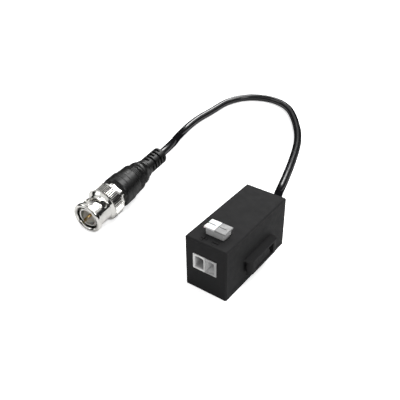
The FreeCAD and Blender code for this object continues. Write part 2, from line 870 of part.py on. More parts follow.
def gasket():
    """The soft ring that seals against the socket, seated on the body's flange."""
    inner = contact_outer_radius + cable_gap
    outer = sleeve_bore_radius - 2 * turning_gap
    start = flange_start - gasket_length
    return turned([
        (start, inner + gasket_edge), (start, outer - gasket_edge), (start + gasket_edge, outer),
        (flange_start, outer), (flange_start, inner), (start + gasket_edge, inner),
    ])


def thrust_washer():
    """The flat washer that the nut's inner flange turns against."""
    end = nut_flange() - end_gap
    inner = neck_radius + turning_gap
    return ring(inner, sleeve_bore_radius - 2 * turning_gap, end - washer_thickness, end)


def wave_washer():
    """The wave spring, drawn at its working height: a thin ring that rises and falls round the axis."""
    end = nut_flange() - end_gap - washer_thickness
    inner = neck_radius + turning_gap
    outer = sleeve_bore_radius - 2 * turning_gap
    swing = (wave_height - wave_thickness) / 2
    middle = end - wave_height / 2
    steps = wave_steps * wave_count
    sections = []
    for index in range(steps):
        angle = 360 * index / steps
        place = middle + swing * math.cos(math.radians(angle * wave_count))
        section = face_of([
            (inner, place - wave_thickness / 2, 0), (outer, place - wave_thickness / 2, 0),
            (outer, place + wave_thickness / 2, 0), (inner, place + wave_thickness / 2, 0),
        ])
        sections.append(radial(section, angle).OuterWire)
    wave = None
    for first, second in zip(sections, sections[1:] + sections[:1]):
        piece = Part.makeLoft([first, second], True, True)
        wave = piece if wave is None else wave.fuse(piece)
    return wave.removeSplitter()


def clamp_collar():
    """The hexagonal collar pressed on the body, which keeps the nut on and backs the boot."""
    bore = neck_radius + cable_gap
    front = nut_end + end_gap
    collar = turned([
        (front, bore), (front, clamp_spigot_radius), (clamp_start, clamp_spigot_radius),
        (clamp_start, clamp_radius - clamp_chamfer), (clamp_start + clamp_chamfer, clamp_radius),
        (clamp_end, clamp_radius), (clamp_end, bore),
    ])
    step = 2 * math.pi / clamp_flat_count
    reach = clamp_flats / math.cos(step / 2)
    corners = []
    for index in range(clamp_flat_count):
        corners.append((reach * math.cos(step * index), 0, reach * math.sin(step * index)))
    return collar.common(face_of(corners).extrude(Vector(0, boot_end, 0)))


def crimp_ferrule():
    """The crimped tube behind the body, over the cable's stripped core and the end of its jacket."""
    core = core_radius + lead_gap
    jacket = cable_diameter / 2 + cable_gap
    step = ferrule_end - jacket_in_ferrule
    return turned([
        (body_end, core), (body_end, stem_outer_radius - ferrule_flare), (ferrule_start, ferrule_radius),
        (ferrule_end, ferrule_radius), (ferrule_end, jacket), (step, jacket), (step, core),
    ])


def cable_core():
    """The stripped core of the cable, from the centre pin back to the end of the jacket."""
    return ring(0, core_radius, pin_end, ferrule_end - jacket_in_ferrule)


def boot():
    """The rubber boot: a tapered grip with seams and grooves, a second step and a slotted strain relief."""
    outer = [
        (boot_start, boot_start_radius), (boot_front, boot_front_radius),
        (boot_seam, boot_front_radius), (boot_seam, boot_front_radius - seam_depth),
        (boot_seam + seam_width, boot_front_radius - seam_depth),
        (boot_seam + seam_width, boot_front_radius), (boot_step, boot_front_radius),
        (boot_step, boot_step_radius),
    ]
    slope = (boot_shoulder_radius - boot_step_radius) / (boot_shoulder - boot_step)
    for index in range(grip_groove_count):
        place = grip_groove_first + index * grip_groove_pitch
        surface = boot_step_radius + slope * (place - boot_step)
        outer.append((place, surface))
        outer.append((place + grip_groove_width / 2, surface - grip_groove_depth))
        outer.append((place + grip_groove_width, surface + slope * grip_groove_width))
    outer += [
        (boot_shoulder, boot_shoulder_radius), (boot_neck[0], boot_neck_radius),
        (boot_neck[1], boot_neck_radius), (boot_second[0], boot_second_radius),
        (boot_second[1], boot_second_radius), (boot_second_end, boot_second_end_radius),
        (bead_end, boot_second_end_radius), (relief_start, relief_radius),
        (boot_end - boot_edge, relief_radius), (boot_end, relief_radius - boot_edge),
    ]
    bore = cable_diameter / 2 + cable_gap
    inner = [
        (boot_end, bore), (ferrule_end, bore), (ferrule_end, ferrule_radius + cable_gap),
        (ferrule_start, ferrule_radius + cable_gap), (body_end, stem_outer_radius + cable_gap),
        (boot_start, stem_outer_radius + cable_gap),
    ]
    across = centred(0, 2 * (relief_radius + 2 * overcut))
    cuts = []
    for index in range(relief_groove_count):
        place = relief_groove_first + index * relief_groove_pitch
        end = place + relief_groove_width
        groove = ring(relief_groove_radius, relief_radius + overcut, place, end)
        bridge = block(across, (place, end), centred(0, relief_bridge))
        cuts.append(groove.cut(radial(bridge, 90 * (index % 2))))
    return turned(outer + inner).cut(cuts)


def cable():
    """The cable, as straight runs joined by tangent arcs, with its length and the radii of its bends."""
    solid, radii, length = tube(route_points(), cable_diameter)
    section = math.pi * cable_diameter ** 2 / 4
    share = solid.Volume / section / length
    print("cable length %.1f" % length, "volume over section times length %.4f" % share)
    print("cable bend radii", " ".join("%.1f" % radius for radius in radii))
    for point in route_points():
        print("route point %.2f %.2f %.2f" % tuple(point))
    return solid


def main():
    """Builds every piece and writes each one to its own file."""
    os.makedirs("parts", exist_ok=True)
    placement = plug_placement()
    axis = placement.Rotation.multVec(Vector(0, 1, 0))
    print("plug tilt %.3f" % plug_tilt(), "mouth", placement.Base, "axis", axis)
    pieces = {
        "housing": housing(),
        "base_cover": base_cover(),
        "circuit_board": circuit_board(),
        "toroid_core": toroid_core(),
        "winding_a": winding(-1),
        "winding_b": winding(1),
        "disc_capacitor": disc_capacitor(),
        "surge_arrester": surge_arrester(),
        "cable_bush": cable_bush(),
        "cable": cable(),
        "signal_lead": inner_lead(1, core_lead_radius),
        "shield_lead": inner_lead(-1, shield_lead_radius),
    }
    for name, side in (("plus", -1), ("minus", 1)):
        pieces[name + "_terminal"] = terminal_pole(side)
        pieces[name + "_button"] = push_button(side)
        pieces[name + "_contact"] = contact_bar(side)
        pieces[name + "_spring"] = clamp_spring(side)
    plug = {
        "coupling_nut": coupling_nut(),
        "plug_body": plug_body(),
        "plug_insulator": insulator(),
        "centre_pin": centre_pin(),
        "mouth_gasket": gasket(),
        "thrust_washer": thrust_washer(),
        "wave_washer": wave_washer(),
        "clamp_collar": clamp_collar(),
        "crimp_ferrule": crimp_ferrule(),
        "cable_core": cable_core(),
        "plug_boot": boot(),
    }
    for name, piece in plug.items():
        piece.Placement = placement.multiply(piece.Placement)
        pieces[name] = piece
    for name, piece in pieces.items():
        if not piece.isValid():
            print("not valid:", name)
        print("%-16s solids %d volume %.1f" % (name, len(piece.Solids), piece.Volume))
        piece.exportStep("parts/%s.step" % name)


main()
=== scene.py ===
"""A passive video balun: a moulded box with a two pole push terminal, and a coaxial pigtail with its plug.

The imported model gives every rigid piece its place. This script dresses the pieces: it works the turned and
moulded surfaces out again as fine numpy surfaces, lays the cable as one smooth spline, and gives each piece
its finish. Sizes in the classes are millimetres. Meshes are in metres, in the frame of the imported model.
"""

import json
import logging
import math
from dataclasses import dataclass
from enum import Enum
from typing import Callable, Sequence

import bmesh
import bpy
import numpy as np
from mathutils import Matrix, Vector

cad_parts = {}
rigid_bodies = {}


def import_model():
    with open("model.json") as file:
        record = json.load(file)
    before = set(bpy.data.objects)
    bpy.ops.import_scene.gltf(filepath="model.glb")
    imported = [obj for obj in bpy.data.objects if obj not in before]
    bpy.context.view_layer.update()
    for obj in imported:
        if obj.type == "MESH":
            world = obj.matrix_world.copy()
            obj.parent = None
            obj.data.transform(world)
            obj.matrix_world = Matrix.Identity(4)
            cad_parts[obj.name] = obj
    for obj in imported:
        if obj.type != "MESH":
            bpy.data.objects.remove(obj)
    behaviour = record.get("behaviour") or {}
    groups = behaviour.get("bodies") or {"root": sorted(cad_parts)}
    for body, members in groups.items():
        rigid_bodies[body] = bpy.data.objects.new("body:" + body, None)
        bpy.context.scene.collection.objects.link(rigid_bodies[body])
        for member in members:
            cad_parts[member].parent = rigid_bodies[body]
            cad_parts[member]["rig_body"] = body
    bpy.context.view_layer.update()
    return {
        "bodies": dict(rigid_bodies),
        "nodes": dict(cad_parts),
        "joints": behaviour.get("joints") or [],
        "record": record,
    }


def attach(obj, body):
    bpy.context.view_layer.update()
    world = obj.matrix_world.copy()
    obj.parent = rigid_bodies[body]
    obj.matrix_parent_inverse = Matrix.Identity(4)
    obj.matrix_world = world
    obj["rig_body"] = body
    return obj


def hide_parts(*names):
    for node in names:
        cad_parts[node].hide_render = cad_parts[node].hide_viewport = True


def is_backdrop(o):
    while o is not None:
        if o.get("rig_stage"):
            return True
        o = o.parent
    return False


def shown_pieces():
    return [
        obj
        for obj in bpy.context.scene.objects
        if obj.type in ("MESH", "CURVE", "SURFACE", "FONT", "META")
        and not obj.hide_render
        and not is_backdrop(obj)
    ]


MM = 0.001
WELD = 1e-7
CREASE = 42.0
WHITE = (1.0, 1.0, 1.0, 1.0)
LOG = logging.getLogger("balun")

Colour = tuple[float, float, float]
Point = tuple[float, float, float]
Corner = tuple[float, float, float]
Socket = bpy.types.NodeSocket
Piece = bpy.types.Object
Finish = bpy.types.Material
FaceRule = Callable[[np.ndarray], np.ndarray]
GapRule = Callable[[np.ndarray, np.ndarray], np.ndarray]
RadiusRule = Callable[[np.ndarray, np.ndarray, np.ndarray], np.ndarray]
WallRule = Callable[[np.ndarray, np.ndarray, np.ndarray, np.ndarray], np.ndarray]


class Body(Enum):
    """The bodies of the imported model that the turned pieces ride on."""

    BOX = "box"
    NUT = "nut"


class Pole(Enum):
    """The two poles of the wire terminal."""

    PLUS = "plus"
    MINUS = "minus"


def grey(level: float) -> Colour:
    """A neutral grey of this brightness, from 0 to 1."""
    return (level, level, level)


def smooth_step(value: np.ndarray) -> np.ndarray:
    """Runs smoothly from 0 to 1: s * s * (3 - 2 * s), where s is the value held between 0 and 1."""
    share = np.clip(value, 0.0, 1.0)
    return share * share * (3 - 2 * share)


def add_object(name: str, data: bpy.types.ID) -> Piece:
    """Puts a mesh, a curve, a lamp or a camera into the scene, as an object at the origin."""
    made = bpy.data.objects.new(name, data)
    bpy.context.scene.collection.objects.link(made)
    return made


def facing(place: Vector, way: Vector) -> Matrix:
    """The placement of a camera or a lamp that stands at a place, in metres, and faces one way."""
    return Matrix.Translation(place) @ way.to_track_quat("-Z", "Y").to_matrix().to_4x4()


@dataclass(frozen=True)
class PhotoCamera:
    """The camera at the photograph's place. Lengths are millimetres in the model's frame, angles degrees."""

    place: Point = (89.114, -141.896, 143.201)
    look: Point = (-0.49087, 0.66067, -0.56794)
    roll: float = -0.8657
    lens: float = 53.321
    sensor: float = 36.0

    def make(self) -> None:
        """Makes the camera and sets it as the scene's own."""
        data = bpy.data.cameras.new("photo_camera")
        data.lens = self.lens
        data.sensor_width = self.sensor
        data.clip_start = 0.01
        data.clip_end = 20.0
        camera = add_object("photo_camera", data)
        roll = Matrix.Rotation(math.radians(self.roll), 4, "Z")
        camera.matrix_world = facing(Vector(self.place) * MM, Vector(self.look)) @ roll
        bpy.context.scene.camera = camera


@dataclass(frozen=True)
class PlugAxes:
    """The plug's own axes: its mouth, the way back along it, and the two ways across it."""

    mouth: np.ndarray
    back: np.ndarray
    side: np.ndarray
    up: np.ndarray

    @classmethod
    def from_joints(cls, joints: Sequence[dict]) -> "PlugAxes":
        """Reads the axes from the joint about which the nut turns.

        Args:
            joints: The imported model's joints.

        Returns:
            The plug's axes in the model's frame, with the mouth in metres.
        """
        turn = next(joint for joint in joints if joint["name"] == "nut_turn")
        back = -np.array(turn["axis"], float)
        back /= np.linalg.norm(back)
        side = np.cross(back, (0.0, 0.0, 1.0))
        side /= np.linalg.norm(side)
        return cls(np.array(turn["pos_m"], float), back, side, np.cross(side, back))

    def place(self, along: np.ndarray, radius: np.ndarray, angle: np.ndarray) -> np.ndarray:
        """Points about the axis: mouth + along * back + radius * (cos(angle) * side + sin(angle) * up).

        Args:
            along: Distances back from the mouth, in millimetres.
            radius: Distances from the axis, in millimetres.
            angle: Angles about the axis, from the side towards up, in radians.

        Returns:
            The points in metres, with one more axis than the arguments.
        """
        along, radius, angle = np.broadcast_arrays(along, radius, angle)
        across = np.cos(angle)[..., None] * self.side + np.sin(angle)[..., None] * self.up
        return self.mouth + MM * (along[..., None] * self.back + radius[..., None] * across)


def rounded(corners: Sequence[Corner], steps: int = 5) -> np.ndarray:
    """An open outline with rounded corners.

    Each corner c becomes the curve (1-t)^2 a + 2t(1-t) c + t^2 b, where a and b lie on the two sides at the
    corner's own distance from it, or at under half the side where that is shorter.

    Args:
        corners: (along, radius, rounding) of each corner, in millimetres. The two ends stay sharp.
        steps: How many points each rounded corner has.

    Returns:
        The outline's (along, radius) points, in order.
    """
    table = np.array(corners, float)
    place, reach = table[:, :2], table[:, 2]
    before, after = place[:-2] - place[1:-1], place[2:] - place[1:-1]
    ways = []
    for side in (before, after):
        length = np.linalg.norm(side, axis=1)
        ways.append(side * (np.minimum(reach[1:-1], 0.48 * length) / length)[:, None])
    t = np.linspace(0.0, 1.0, steps)[None, :, None]
    middle = place[1:-1][:, None]
    start, end = middle + ways[0][:, None], middle + ways[1][:, None]
    curve = (1 - t) ** 2 * start + 2 * t * (1 - t) * middle + t ** 2 * end
    inner = curve.reshape(-1, 2)
    moved = np.linalg.norm(np.diff(inner, axis=0), axis=1) > 1e-6
    return np.vstack([place[:1], inner[np.append(True, moved)], place[-1:]])


def grid_faces(rows: int, columns: int, close_rows: bool = False, close_columns: bool = True) -> np.ndarray:
    """The four-cornered faces of a grid of points that is numbered row by row.

    Args:
        rows: How many rows the grid has.
        columns: How many points each row has.
        close_rows: Whether the last row joins the first.
        close_columns: Whether each row joins its own start.

    Returns:
        An array of faces, each with the numbers of its four corners.
    """
    down, across = rows - (not close_rows), columns - (not close_columns)
    i, j = np.meshgrid(np.arange(down), np.arange(across), indexing="ij")
    i_next, j_next = (i + 1) % rows, (j + 1) % columns
    corners = (i * columns + j, i * columns + j_next, i_next * columns + j_next, i_next * columns + j)
    return np.stack(corners, axis=-1).reshape(-1, 4)


def tidy_mesh(mesh: bpy.types.Mesh, weld: float, crease: float, flat: float | None = None) -> None:
    """Joins a mesh's doubled corners, turns its faces outwards and smooths it between its sharp edges.

    Args:
        mesh: The mesh.
        weld: Corners that lie closer than this, in metres, become one.
        crease: Edges that bend by more than this, in degrees, stay sharp.
        flat: Faces that meet at less than this, in degrees, become one. If it's left out, faces stay apart
            and only those without an area go.
    """
    tidy = bmesh.new()
    tidy.from_mesh(mesh)
    bmesh.ops.remove_doubles(tidy, verts=tidy.verts, dist=weld)
    if flat is None:
        bmesh.ops.dissolve_degenerate(tidy, edges=tidy.edges, dist=weld)
    else:
        bmesh.ops.dissolve_limit(tidy, angle_limit=math.radians(flat), verts=tidy.verts, edges=tidy.edges)
    bmesh.ops.recalc_face_normals(tidy, faces=tidy.faces)
    tidy.to_mesh(mesh)
    tidy.free()
    mesh.polygons.foreach_set("use_smooth", np.ones(len(mesh.polygons), bool))
    mesh.set_sharp_from_angle(angle=math.radians(crease))


def make_piece(name: str, points: np.ndarray, faces: np.ndarray) -> Piece:
    """Makes a smooth mesh object at the origin, with its poles welded and its faces pointing outwards.

    Args:
        name: The object's name.
        points: Corner places in metres, in any grid shape.
        faces: The corner numbers of each four-cornered face.

    Returns:
        The new object, in the scene.
    """
    mesh = bpy.data.meshes.new(name)
    places = points.reshape(-1, 3)
    mesh.vertices.add(len(places))
    mesh.vertices.foreach_set("co", places.ravel())
    mesh.loops.add(faces.size)
    mesh.loops.foreach_set("vertex_index", faces.ravel())
    mesh.polygons.add(len(faces))
    mesh.polygons.foreach_set("loop_start", np.arange(0, faces.size, 4))
    mesh.update(calc_edges=True)
    tidy_mesh(mesh, WELD, CREASE)
    return add_object(name, mesh)


def turned_piece(name: str, axes: PlugAxes, outline: np.ndarray, columns: int = 128, closed: bool = True,
                 radius: RadiusRule | None = None) -> Piece:
    """A turned surface: each point of the outline is carried round the plug's axis.

    Args:
        name: The object's name.
        axes: The plug's axes.
        outline: (along, radius) points in millimetres.
        columns: How many steps there are round the axis.
        closed: Whether the outline's last point joins its first.
        radius: A rule that gives the radius from (along, radius, angle) where the surface isn't quite round.

    Returns:
        The new object.
    """
    angle = np.linspace(0.0, 2 * np.pi, columns, endpoint=False)[None, :]
    along, reach = outline[:, :1], outline[:, 1:]
    if radius is not None:
        reach = radius(along, reach, angle)
    faces = grid_faces(len(outline), columns, close_rows=closed)
    return make_piece(name, axes.place(along, reach, angle), faces)


def settle(piece: Piece) -> None:
    """Applies a piece's modifiers to its mesh."""
    graph = bpy.context.evaluated_depsgraph_get()
    mesh = bpy.data.meshes.new_from_object(piece.evaluated_get(graph))
    piece.modifiers.clear()
    piece.data = mesh


def dress(piece: Piece, node: str, body: str, slot: str, *finishes: Finish) -> Piece:
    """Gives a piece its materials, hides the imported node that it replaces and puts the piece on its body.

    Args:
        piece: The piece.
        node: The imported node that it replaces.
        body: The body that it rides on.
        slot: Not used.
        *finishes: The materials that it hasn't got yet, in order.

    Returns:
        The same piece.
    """
    for finish in finishes:
        piece.data.materials.append(finish)
    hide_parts(node)
    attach(piece, body)
    return piece


def paint(piece: Piece, index: int, rule: FaceRule) -> None:
    """Gives some faces of a piece another of its materials.

    Args:
        piece: The piece.
        index: The material's place in the piece's list.
        rule: Says from the middles of the faces, in millimetres, which ones they are.
    """
    faces = piece.data.polygons
    middles = np.empty(3 * len(faces))
    faces.foreach_get("center", middles)
    indices = np.empty(len(faces), int)
    faces.foreach_get("material_index", indices)
    indices[rule(middles.reshape(-1, 3) / MM)] = index
    faces.foreach_set("material_index", indices)


def within(low: Sequence[float], high: Sequence[float]) -> FaceRule:
    """A rule that picks the faces whose middles lie inside a box, between its lowest and highest corners."""
    return lambda middles: np.all((middles > low) & (middles < high), axis=1)


@dataclass
class NodeGraph:
    """Short ways to add and join the nodes of one tree, which starts empty."""

    tree: bpy.types.NodeTree

    def __post_init__(self) -> None:
        """Empties the tree."""
        self.tree.nodes.clear()

    def feed(self, entry: Socket, value: object) -> None:
        """Links an output to an input, or sets the input to a value."""
        if isinstance(value, Socket):
            self.tree.links.new(value, entry)
        else:
            entry.default_value = value

    def node(self, kind: str, *sources: tuple[str | int, object], **settings: object) -> bpy.types.Node:
        """Adds a node.

        Args:
            kind: The node's type.
            *sources: (input, value or output socket) pairs.
            **settings: The node's own properties.

        Returns:
            The new node.
        """
        made = self.tree.nodes.new(kind)
        for key, value in settings.items():
            setattr(made, key, value)
        for key, value in sources:
            self.feed(made.inputs[key], value)
        return made

    def mix(self, share: Socket, first: Socket, second: Socket) -> Socket:
        """A shader that changes from the first to the second as a share runs from 0 to 1."""
        return self.node("ShaderNodeMixShader", (0, share), (1, first), (2, second)).outputs[0]


class Shading(NodeGraph):
    """The nodes of one material, which starts with a principled shader and the object's coordinates."""

    def __init__(self, name: str) -> None:
        """Makes the material.

        Args:
            name: The material's name.
        """
        self.material = bpy.data.materials.new(name)
        self.material.use_nodes = True
        super().__init__(self.material.node_tree)
        self.shader = self.node("ShaderNodeBsdfPrincipled")
        self.output = self.node("ShaderNodeOutputMaterial", ("Surface", self.shader.outputs["BSDF"]))
        self.place = self.node("ShaderNodeTexCoord").outputs["Object"]

    def shade(self, *sources: tuple[str, object]) -> Finish:
        """Sets or links inputs of the principled shader, and gives the material back."""
        for key, value in sources:
            self.feed(self.shader.inputs[key], value)
        return self.material

    def noise(self, size: float, detail: float) -> Socket:
        """Even noise whose grains are about this size, in millimetres."""
        made = self.node("ShaderNodeTexNoise", ("Vector", self.place), ("Scale", 1.0 / (size * MM)),
                         ("Detail", detail))
        return made.outputs["Fac"]

    def span(self, value: Socket, low: float, high: float, start: float = 0.3, end: float = 0.7) -> Socket:
        """Maps a value from start..end to low..high."""
        made = self.node("ShaderNodeMapRange", ("Value", value), ("From Min", start), ("From Max", end),
                         ("To Min", low), ("To Max", high))
        return made.outputs["Result"]

    def tint(self, share: Socket, first: Colour | Socket, second: Colour) -> Socket:
        """A colour that changes from the first to the second as a share runs from 0 to 1."""
        start = first if isinstance(first, Socket) else (*first, 1.0)
        made = self.node("ShaderNodeMix", ("Factor", share), (6, start), (7, (*second, 1.0)),
                         data_type="RGBA")
        return made.outputs[2]

    def bump(self, height: Socket, depth: float, under: Socket | None = None) -> Socket:
        """A bumped normal whose full height is this depth, in millimetres, on top of another one."""
        base = () if under is None else (("Normal", under),)
        made = self.node("ShaderNodeBump", ("Height", height), ("Distance", depth * MM), *base)
        return made.outputs["Normal"]


@dataclass(frozen=True)
class Moulding:
    """Moulded plastic or rubber: an even colour with slight mottling, and the fine grain of the mould.

    The sizes are those of the mottling, of the changes in polish and of the slight waves of the surface.
    """

    name: str
    colour: Colour
    roughness: float
    grain: float = 0.12
    grain_depth: float = 0.010
    mottling: float = 0.12
    specular: float = 0.5
    edge_specular: float | None = None
    edge_span: tuple[float, float] = (0.48, 0.68)
    subsurface: float = 0.0
    subsurface_depth: float = 0.4
    # Painted light and shade in the terminal's cells: the colour taken inside, and the span of Y, in
    # millimetres, over which it changes.
    painted_cell_light: Colour | None = None
    painted_cell_span: tuple[float, float] = (-19.6, -18.4)
    mottling_size: float = 9.0
    polish_size: float = 2.2
    wave_size: float = 4.0

    def material(self) -> Finish:
        """Builds the material.

        Where it has a painted cell light, the colour changes to it along Y, into the box: painted shade or
        painted light inside a terminal's cells. Where it has an edge specular, the sheen falls to that level
        as the surface turns away from the eye.

        Returns:
            The material.
        """
        shading = Shading(self.name)
        cloud = shading.span(shading.noise(self.mottling_size, 4.0), 0.0, 1.0)
        dark = tuple(c * (1 - self.mottling) for c in self.colour)
        light = tuple(min(1.0, c * (1 + self.mottling)) for c in self.colour)
        shade = shading.tint(cloud, dark, light)
        # The colour changes along Y into the box: a painted shade in the white terminal's cells, a painted
        # light in the grey one's.
        if self.painted_cell_light is not None:
            inwards = shading.node("ShaderNodeSeparateXYZ", (0, shading.place)).outputs["Y"]
            start, end = (y * MM for y in self.painted_cell_span)
            shade = shading.tint(shading.span(inwards, 0.0, 1.0, start, end), shade, self.painted_cell_light)
        polish = shading.noise(self.polish_size, 5.0)
        rough = shading.span(polish, self.roughness * 0.9, min(1.0, self.roughness * 1.12))
        wave = shading.bump(shading.noise(self.wave_size, 2.0), self.grain_depth * 1.5)
        grain = shading.bump(shading.noise(self.grain, 2.0), self.grain_depth, under=wave)
        shading.shade(("Base Color", shade), ("Roughness", rough), ("Normal", grain),
                      ("Specular IOR Level", self.specular), ("Subsurface Weight", self.subsurface),
                      ("Subsurface Scale", self.subsurface_depth * MM))
        if self.edge_specular is not None:
            turned = shading.node("ShaderNodeLayerWeight", ("Blend", 0.5)).outputs["Facing"]
            sheen = shading.span(turned, self.specular, self.edge_specular, *self.edge_span)
            shading.shade(("Specular IOR Level", sheen))
        return shading.material


@dataclass(frozen=True)
class GlossMoulding(Moulding):
    """Moulded plastic from a polished mould, with a coarser and fainter grain and hardly any mottling."""

    grain: float = 0.3
    grain_depth: float = 0.006
    mottling: float = 0.03


@dataclass(frozen=True)
class TurnedMetal:
    """Turned and plated metal: fine rings from the tool, a slight cloud in the polish and light scratches."""

    name: str
    colour: Colour
    roughness: float
    axes: PlugAxes
    ring_depth: float = 0.0012
    ring_pitch: float = 0.09
    haze: float = 0.5
    cloud_size: float = 1.6
    polish_size: float = 0.7
    scratch_size: float = 0.25

    def material(self) -> Finish:
        """Builds the material, whose rings follow the distance along the plug's axis."""
        shading = Shading(self.name)
        cloud = shading.span(shading.noise(self.cloud_size, 5.0), 0.0, 1.0)
        dark = tuple(c * 0.90 for c in self.colour)
        low, high = self.roughness * (1 - self.haze), self.roughness * (1 + self.haze)
        along = shading.node("ShaderNodeVectorMath", (0, shading.place), (1, tuple(self.axes.back)),
                             operation="DOT_PRODUCT").outputs["Value"]
        rings = shading.node("ShaderNodeTexNoise", ("W", along), ("Scale", 1.0 / (self.ring_pitch * MM)),
                             ("Detail", 2.0), noise_dimensions="1D").outputs["Fac"]
        turning = shading.bump(rings, self.ring_depth)
        scratches = shading.bump(shading.noise(self.scratch_size, 6.0), self.ring_depth * 0.8, under=turning)
        return shading.shade(("Metallic", 1.0), ("Base Color", shading.tint(cloud, dark, self.colour)),
                             ("Roughness", shading.span(shading.noise(self.polish_size, 6.0), low, high)),
                             ("Normal", scratches))


@dataclass(frozen=True)
class SheetMetal:
    """Small stamped or drawn metal pieces with a satin, slightly uneven surface."""

    name: str
    colour: Colour
    roughness: float
    cloud_size: float = 0.8
    polish_size: float = 0.3
    grain: float = 0.12
    grain_depth: float = 0.002

    def material(self) -> Finish:
        """Builds the material."""
        shading = Shading(self.name)
        cloud = shading.span(shading.noise(self.cloud_size, 5.0), 0.0, 1.0)
        dark = tuple(c * 0.8 for c in self.colour)
        polish = shading.noise(self.polish_size, 4.0)
        return shading.shade(("Metallic", 1.0), ("Base Color", shading.tint(cloud, dark, self.colour)),
                             ("Roughness", shading.span(polish, self.roughness * 0.8, self.roughness * 1.25)),
                             ("Normal", shading.bump(shading.noise(self.grain, 4.0), self.grain_depth)))


@dataclass(frozen=True)
class BoardLaminate:
    """Green solder mask over copper tracks, with the weave of the laminate faintly under it."""

    name: str = "board_laminate"
    mask: Colour = (0.008, 0.075, 0.030)
    track: Colour = (0.020, 0.16, 0.060)
    tracks_per_metre: float = 420.0
    track_depth: float = 0.02
    weave_size: float = 0.35
    weave_depth: float = 0.004

    def material(self) -> Finish:
        """Builds the material, whose tracks are the joints of a brick pattern."""
        shading = Shading(self.name)
        black = (*grey(0.0), 1.0)
        tracks = shading.node("ShaderNodeTexBrick", ("Vector", shading.place),
                              ("Scale", self.tracks_per_metre), ("Mortar Size", 0.05), ("Mortar Smooth", 0.2),
                              ("Color1", black), ("Color2", black), ("Mortar", WHITE)).outputs["Color"]
        weave = shading.noise(self.weave_size, 2.0)
        raised = shading.bump(tracks, self.track_depth)
        return shading.shade(("Base Color", shading.tint(tracks, self.mask, self.track)),
                             ("Roughness", shading.span(weave, 0.22, 0.34)),
                             ("Normal", shading.bump(weave, self.weave_depth, under=raised)))


@dataclass(frozen=True)
class StudioFloor:
    """The white table: matt, and pure white to the camera where nothing shades it."""

    colour: float = 0.93
    lift: float = 0.58
    mirrored: float = 0.85
    cloud_size: float = 60.0

    def material(self) -> Finish:
        """Builds the material: the camera sees it lifted to white, and polished pieces mirror it darker."""
        shading = Shading("studio_floor")
        shading.tree.nodes.remove(shading.shader)
        cloud = shading.span(shading.noise(self.cloud_size, 2.0), self.colour * 0.995, self.colour)
        pale = shading.node("ShaderNodeCombineColor", (0, cloud), (1, cloud), (2, cloud)).outputs[0]
        matt = shading.node("ShaderNodeBsdfDiffuse", ("Color", pale)).outputs[0]
        glow = shading.node("ShaderNodeEmission", ("Color", WHITE), ("Strength", self.lift)).outputs[0]
        lifted = shading.node("ShaderNodeAddShader", (0, matt), (1, glow)).outputs[0]
        darker = shading.node("ShaderNodeBsdfDiffuse", ("Color", (*grey(self.mirrored), 1.0))).outputs[0]
        ray = shading.node("ShaderNodeLightPath").outputs
        unseen = shading.mix(ray["Is Glossy Ray"], matt, darker)
        shading.feed(shading.output.inputs["Surface"], shading.mix(ray["Is Camera Ray"], unseen, lifted))
        return shading.material


@dataclass(frozen=True)
class SoftLamp:
    """A rectangular soft lamp, in metres and watts, that faces a point near the object."""

    name: str
    place: Point
    aim: Point
    size: tuple[float, float]
    power: float
    lights_matt: bool = True

    def make(self) -> None:
        """Makes the lamp. One that doesn't light matt surfaces shows only as a sheen."""
        data = bpy.data.lights.new(self.name, "AREA")
        data.shape = "RECTANGLE"
        data.size, data.size_y = self.size
        data.energy = self.power
        lamp = add_object(self.name, data)
        lamp.matrix_world = facing(Vector(self.place), Vector(self.aim) - Vector(self.place))
        lamp.visible_diffuse = self.lights_matt


@dataclass(frozen=True)
class Studio:
    """The white floor, the soft lamps and the world around the object.

    The bands are (height, level) stops of the world that polished surfaces mirror, from the horizon at 0 to
    straight up at 1.
    """

    floor_size: float = 6.0
    ambient: float = 0.43
    lamps: tuple[SoftLamp, ...] = (
        SoftLamp("top_softbox", (0.12, 0.38, 0.80), (-0.02, 0.05, 0.0), (0.55, 0.55), 6.6),
        SoftLamp("left_softbox", (-0.60, -0.35, 0.45), (-0.04, 0.04, 0.01), (0.50, 0.30), 0.7),
        SoftLamp("right_softbox", (0.62, -0.12, 0.45), (0.0, 0.02, 0.01), (0.35, 0.25), 1.5),
        SoftLamp("rear_strip", (-0.34, 0.80, 0.68), (-0.03, 0.05, 0.0), (0.45, 0.25), 4.8, lights_matt=False),
    )
    bands: tuple[tuple[float, float], ...] = (
        (0.0, 0.04), (0.10, 0.02), (0.36, 0.05), (0.50, 0.85), (0.72, 1.0), (0.90, 0.30),
    )

    def make(self) -> None:
        """Makes the floor, the lamps and the world."""
        half = self.floor_size / 2
        corners = np.array([(-half, -half, 0), (half, -half, 0), (-half, half, 0), (half, half, 0)])
        floor = make_piece("floor", corners, grid_faces(2, 2, close_columns=False))
        floor.data.materials.append(StudioFloor().material())
        floor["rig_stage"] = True
        for lamp in self.lamps:
            lamp.make()
        self.world()

    def world(self) -> None:
        """A world that is white to the camera, light grey to matt surfaces and banded to polished ones."""
        world = bpy.data.worlds.new("studio")
        bpy.context.scene.world = world
        world.use_nodes = True
        graph = NodeGraph(world.node_tree)
        way = graph.node("ShaderNodeTexCoord").outputs["Generated"]
        height = graph.node("ShaderNodeSeparateXYZ", (0, way)).outputs["Z"]
        ramp = graph.node("ShaderNodeValToRGB", ("Fac", height))
        stops = ramp.color_ramp.elements
        stops.remove(stops[1])
        for index, (place, level) in enumerate(self.bands):
            stop = stops.new(place) if index else stops[0]
            stop.position = place
            stop.color = (*grey(level), 1.0)
        banded = graph.node("ShaderNodeBackground", ("Color", ramp.outputs["Color"])).outputs[0]
        soft = graph.node("ShaderNodeBackground", ("Color", WHITE), ("Strength", self.ambient)).outputs[0]
        white = graph.node("ShaderNodeBackground", ("Color", WHITE), ("Strength", 1.0)).outputs[0]
        ray = graph.node("ShaderNodeLightPath").outputs
        unseen = graph.mix(ray["Is Glossy Ray"], soft, banded)
        graph.node("ShaderNodeOutputWorld", ("Surface", graph.mix(ray["Is Camera Ray"], unseen, white)))


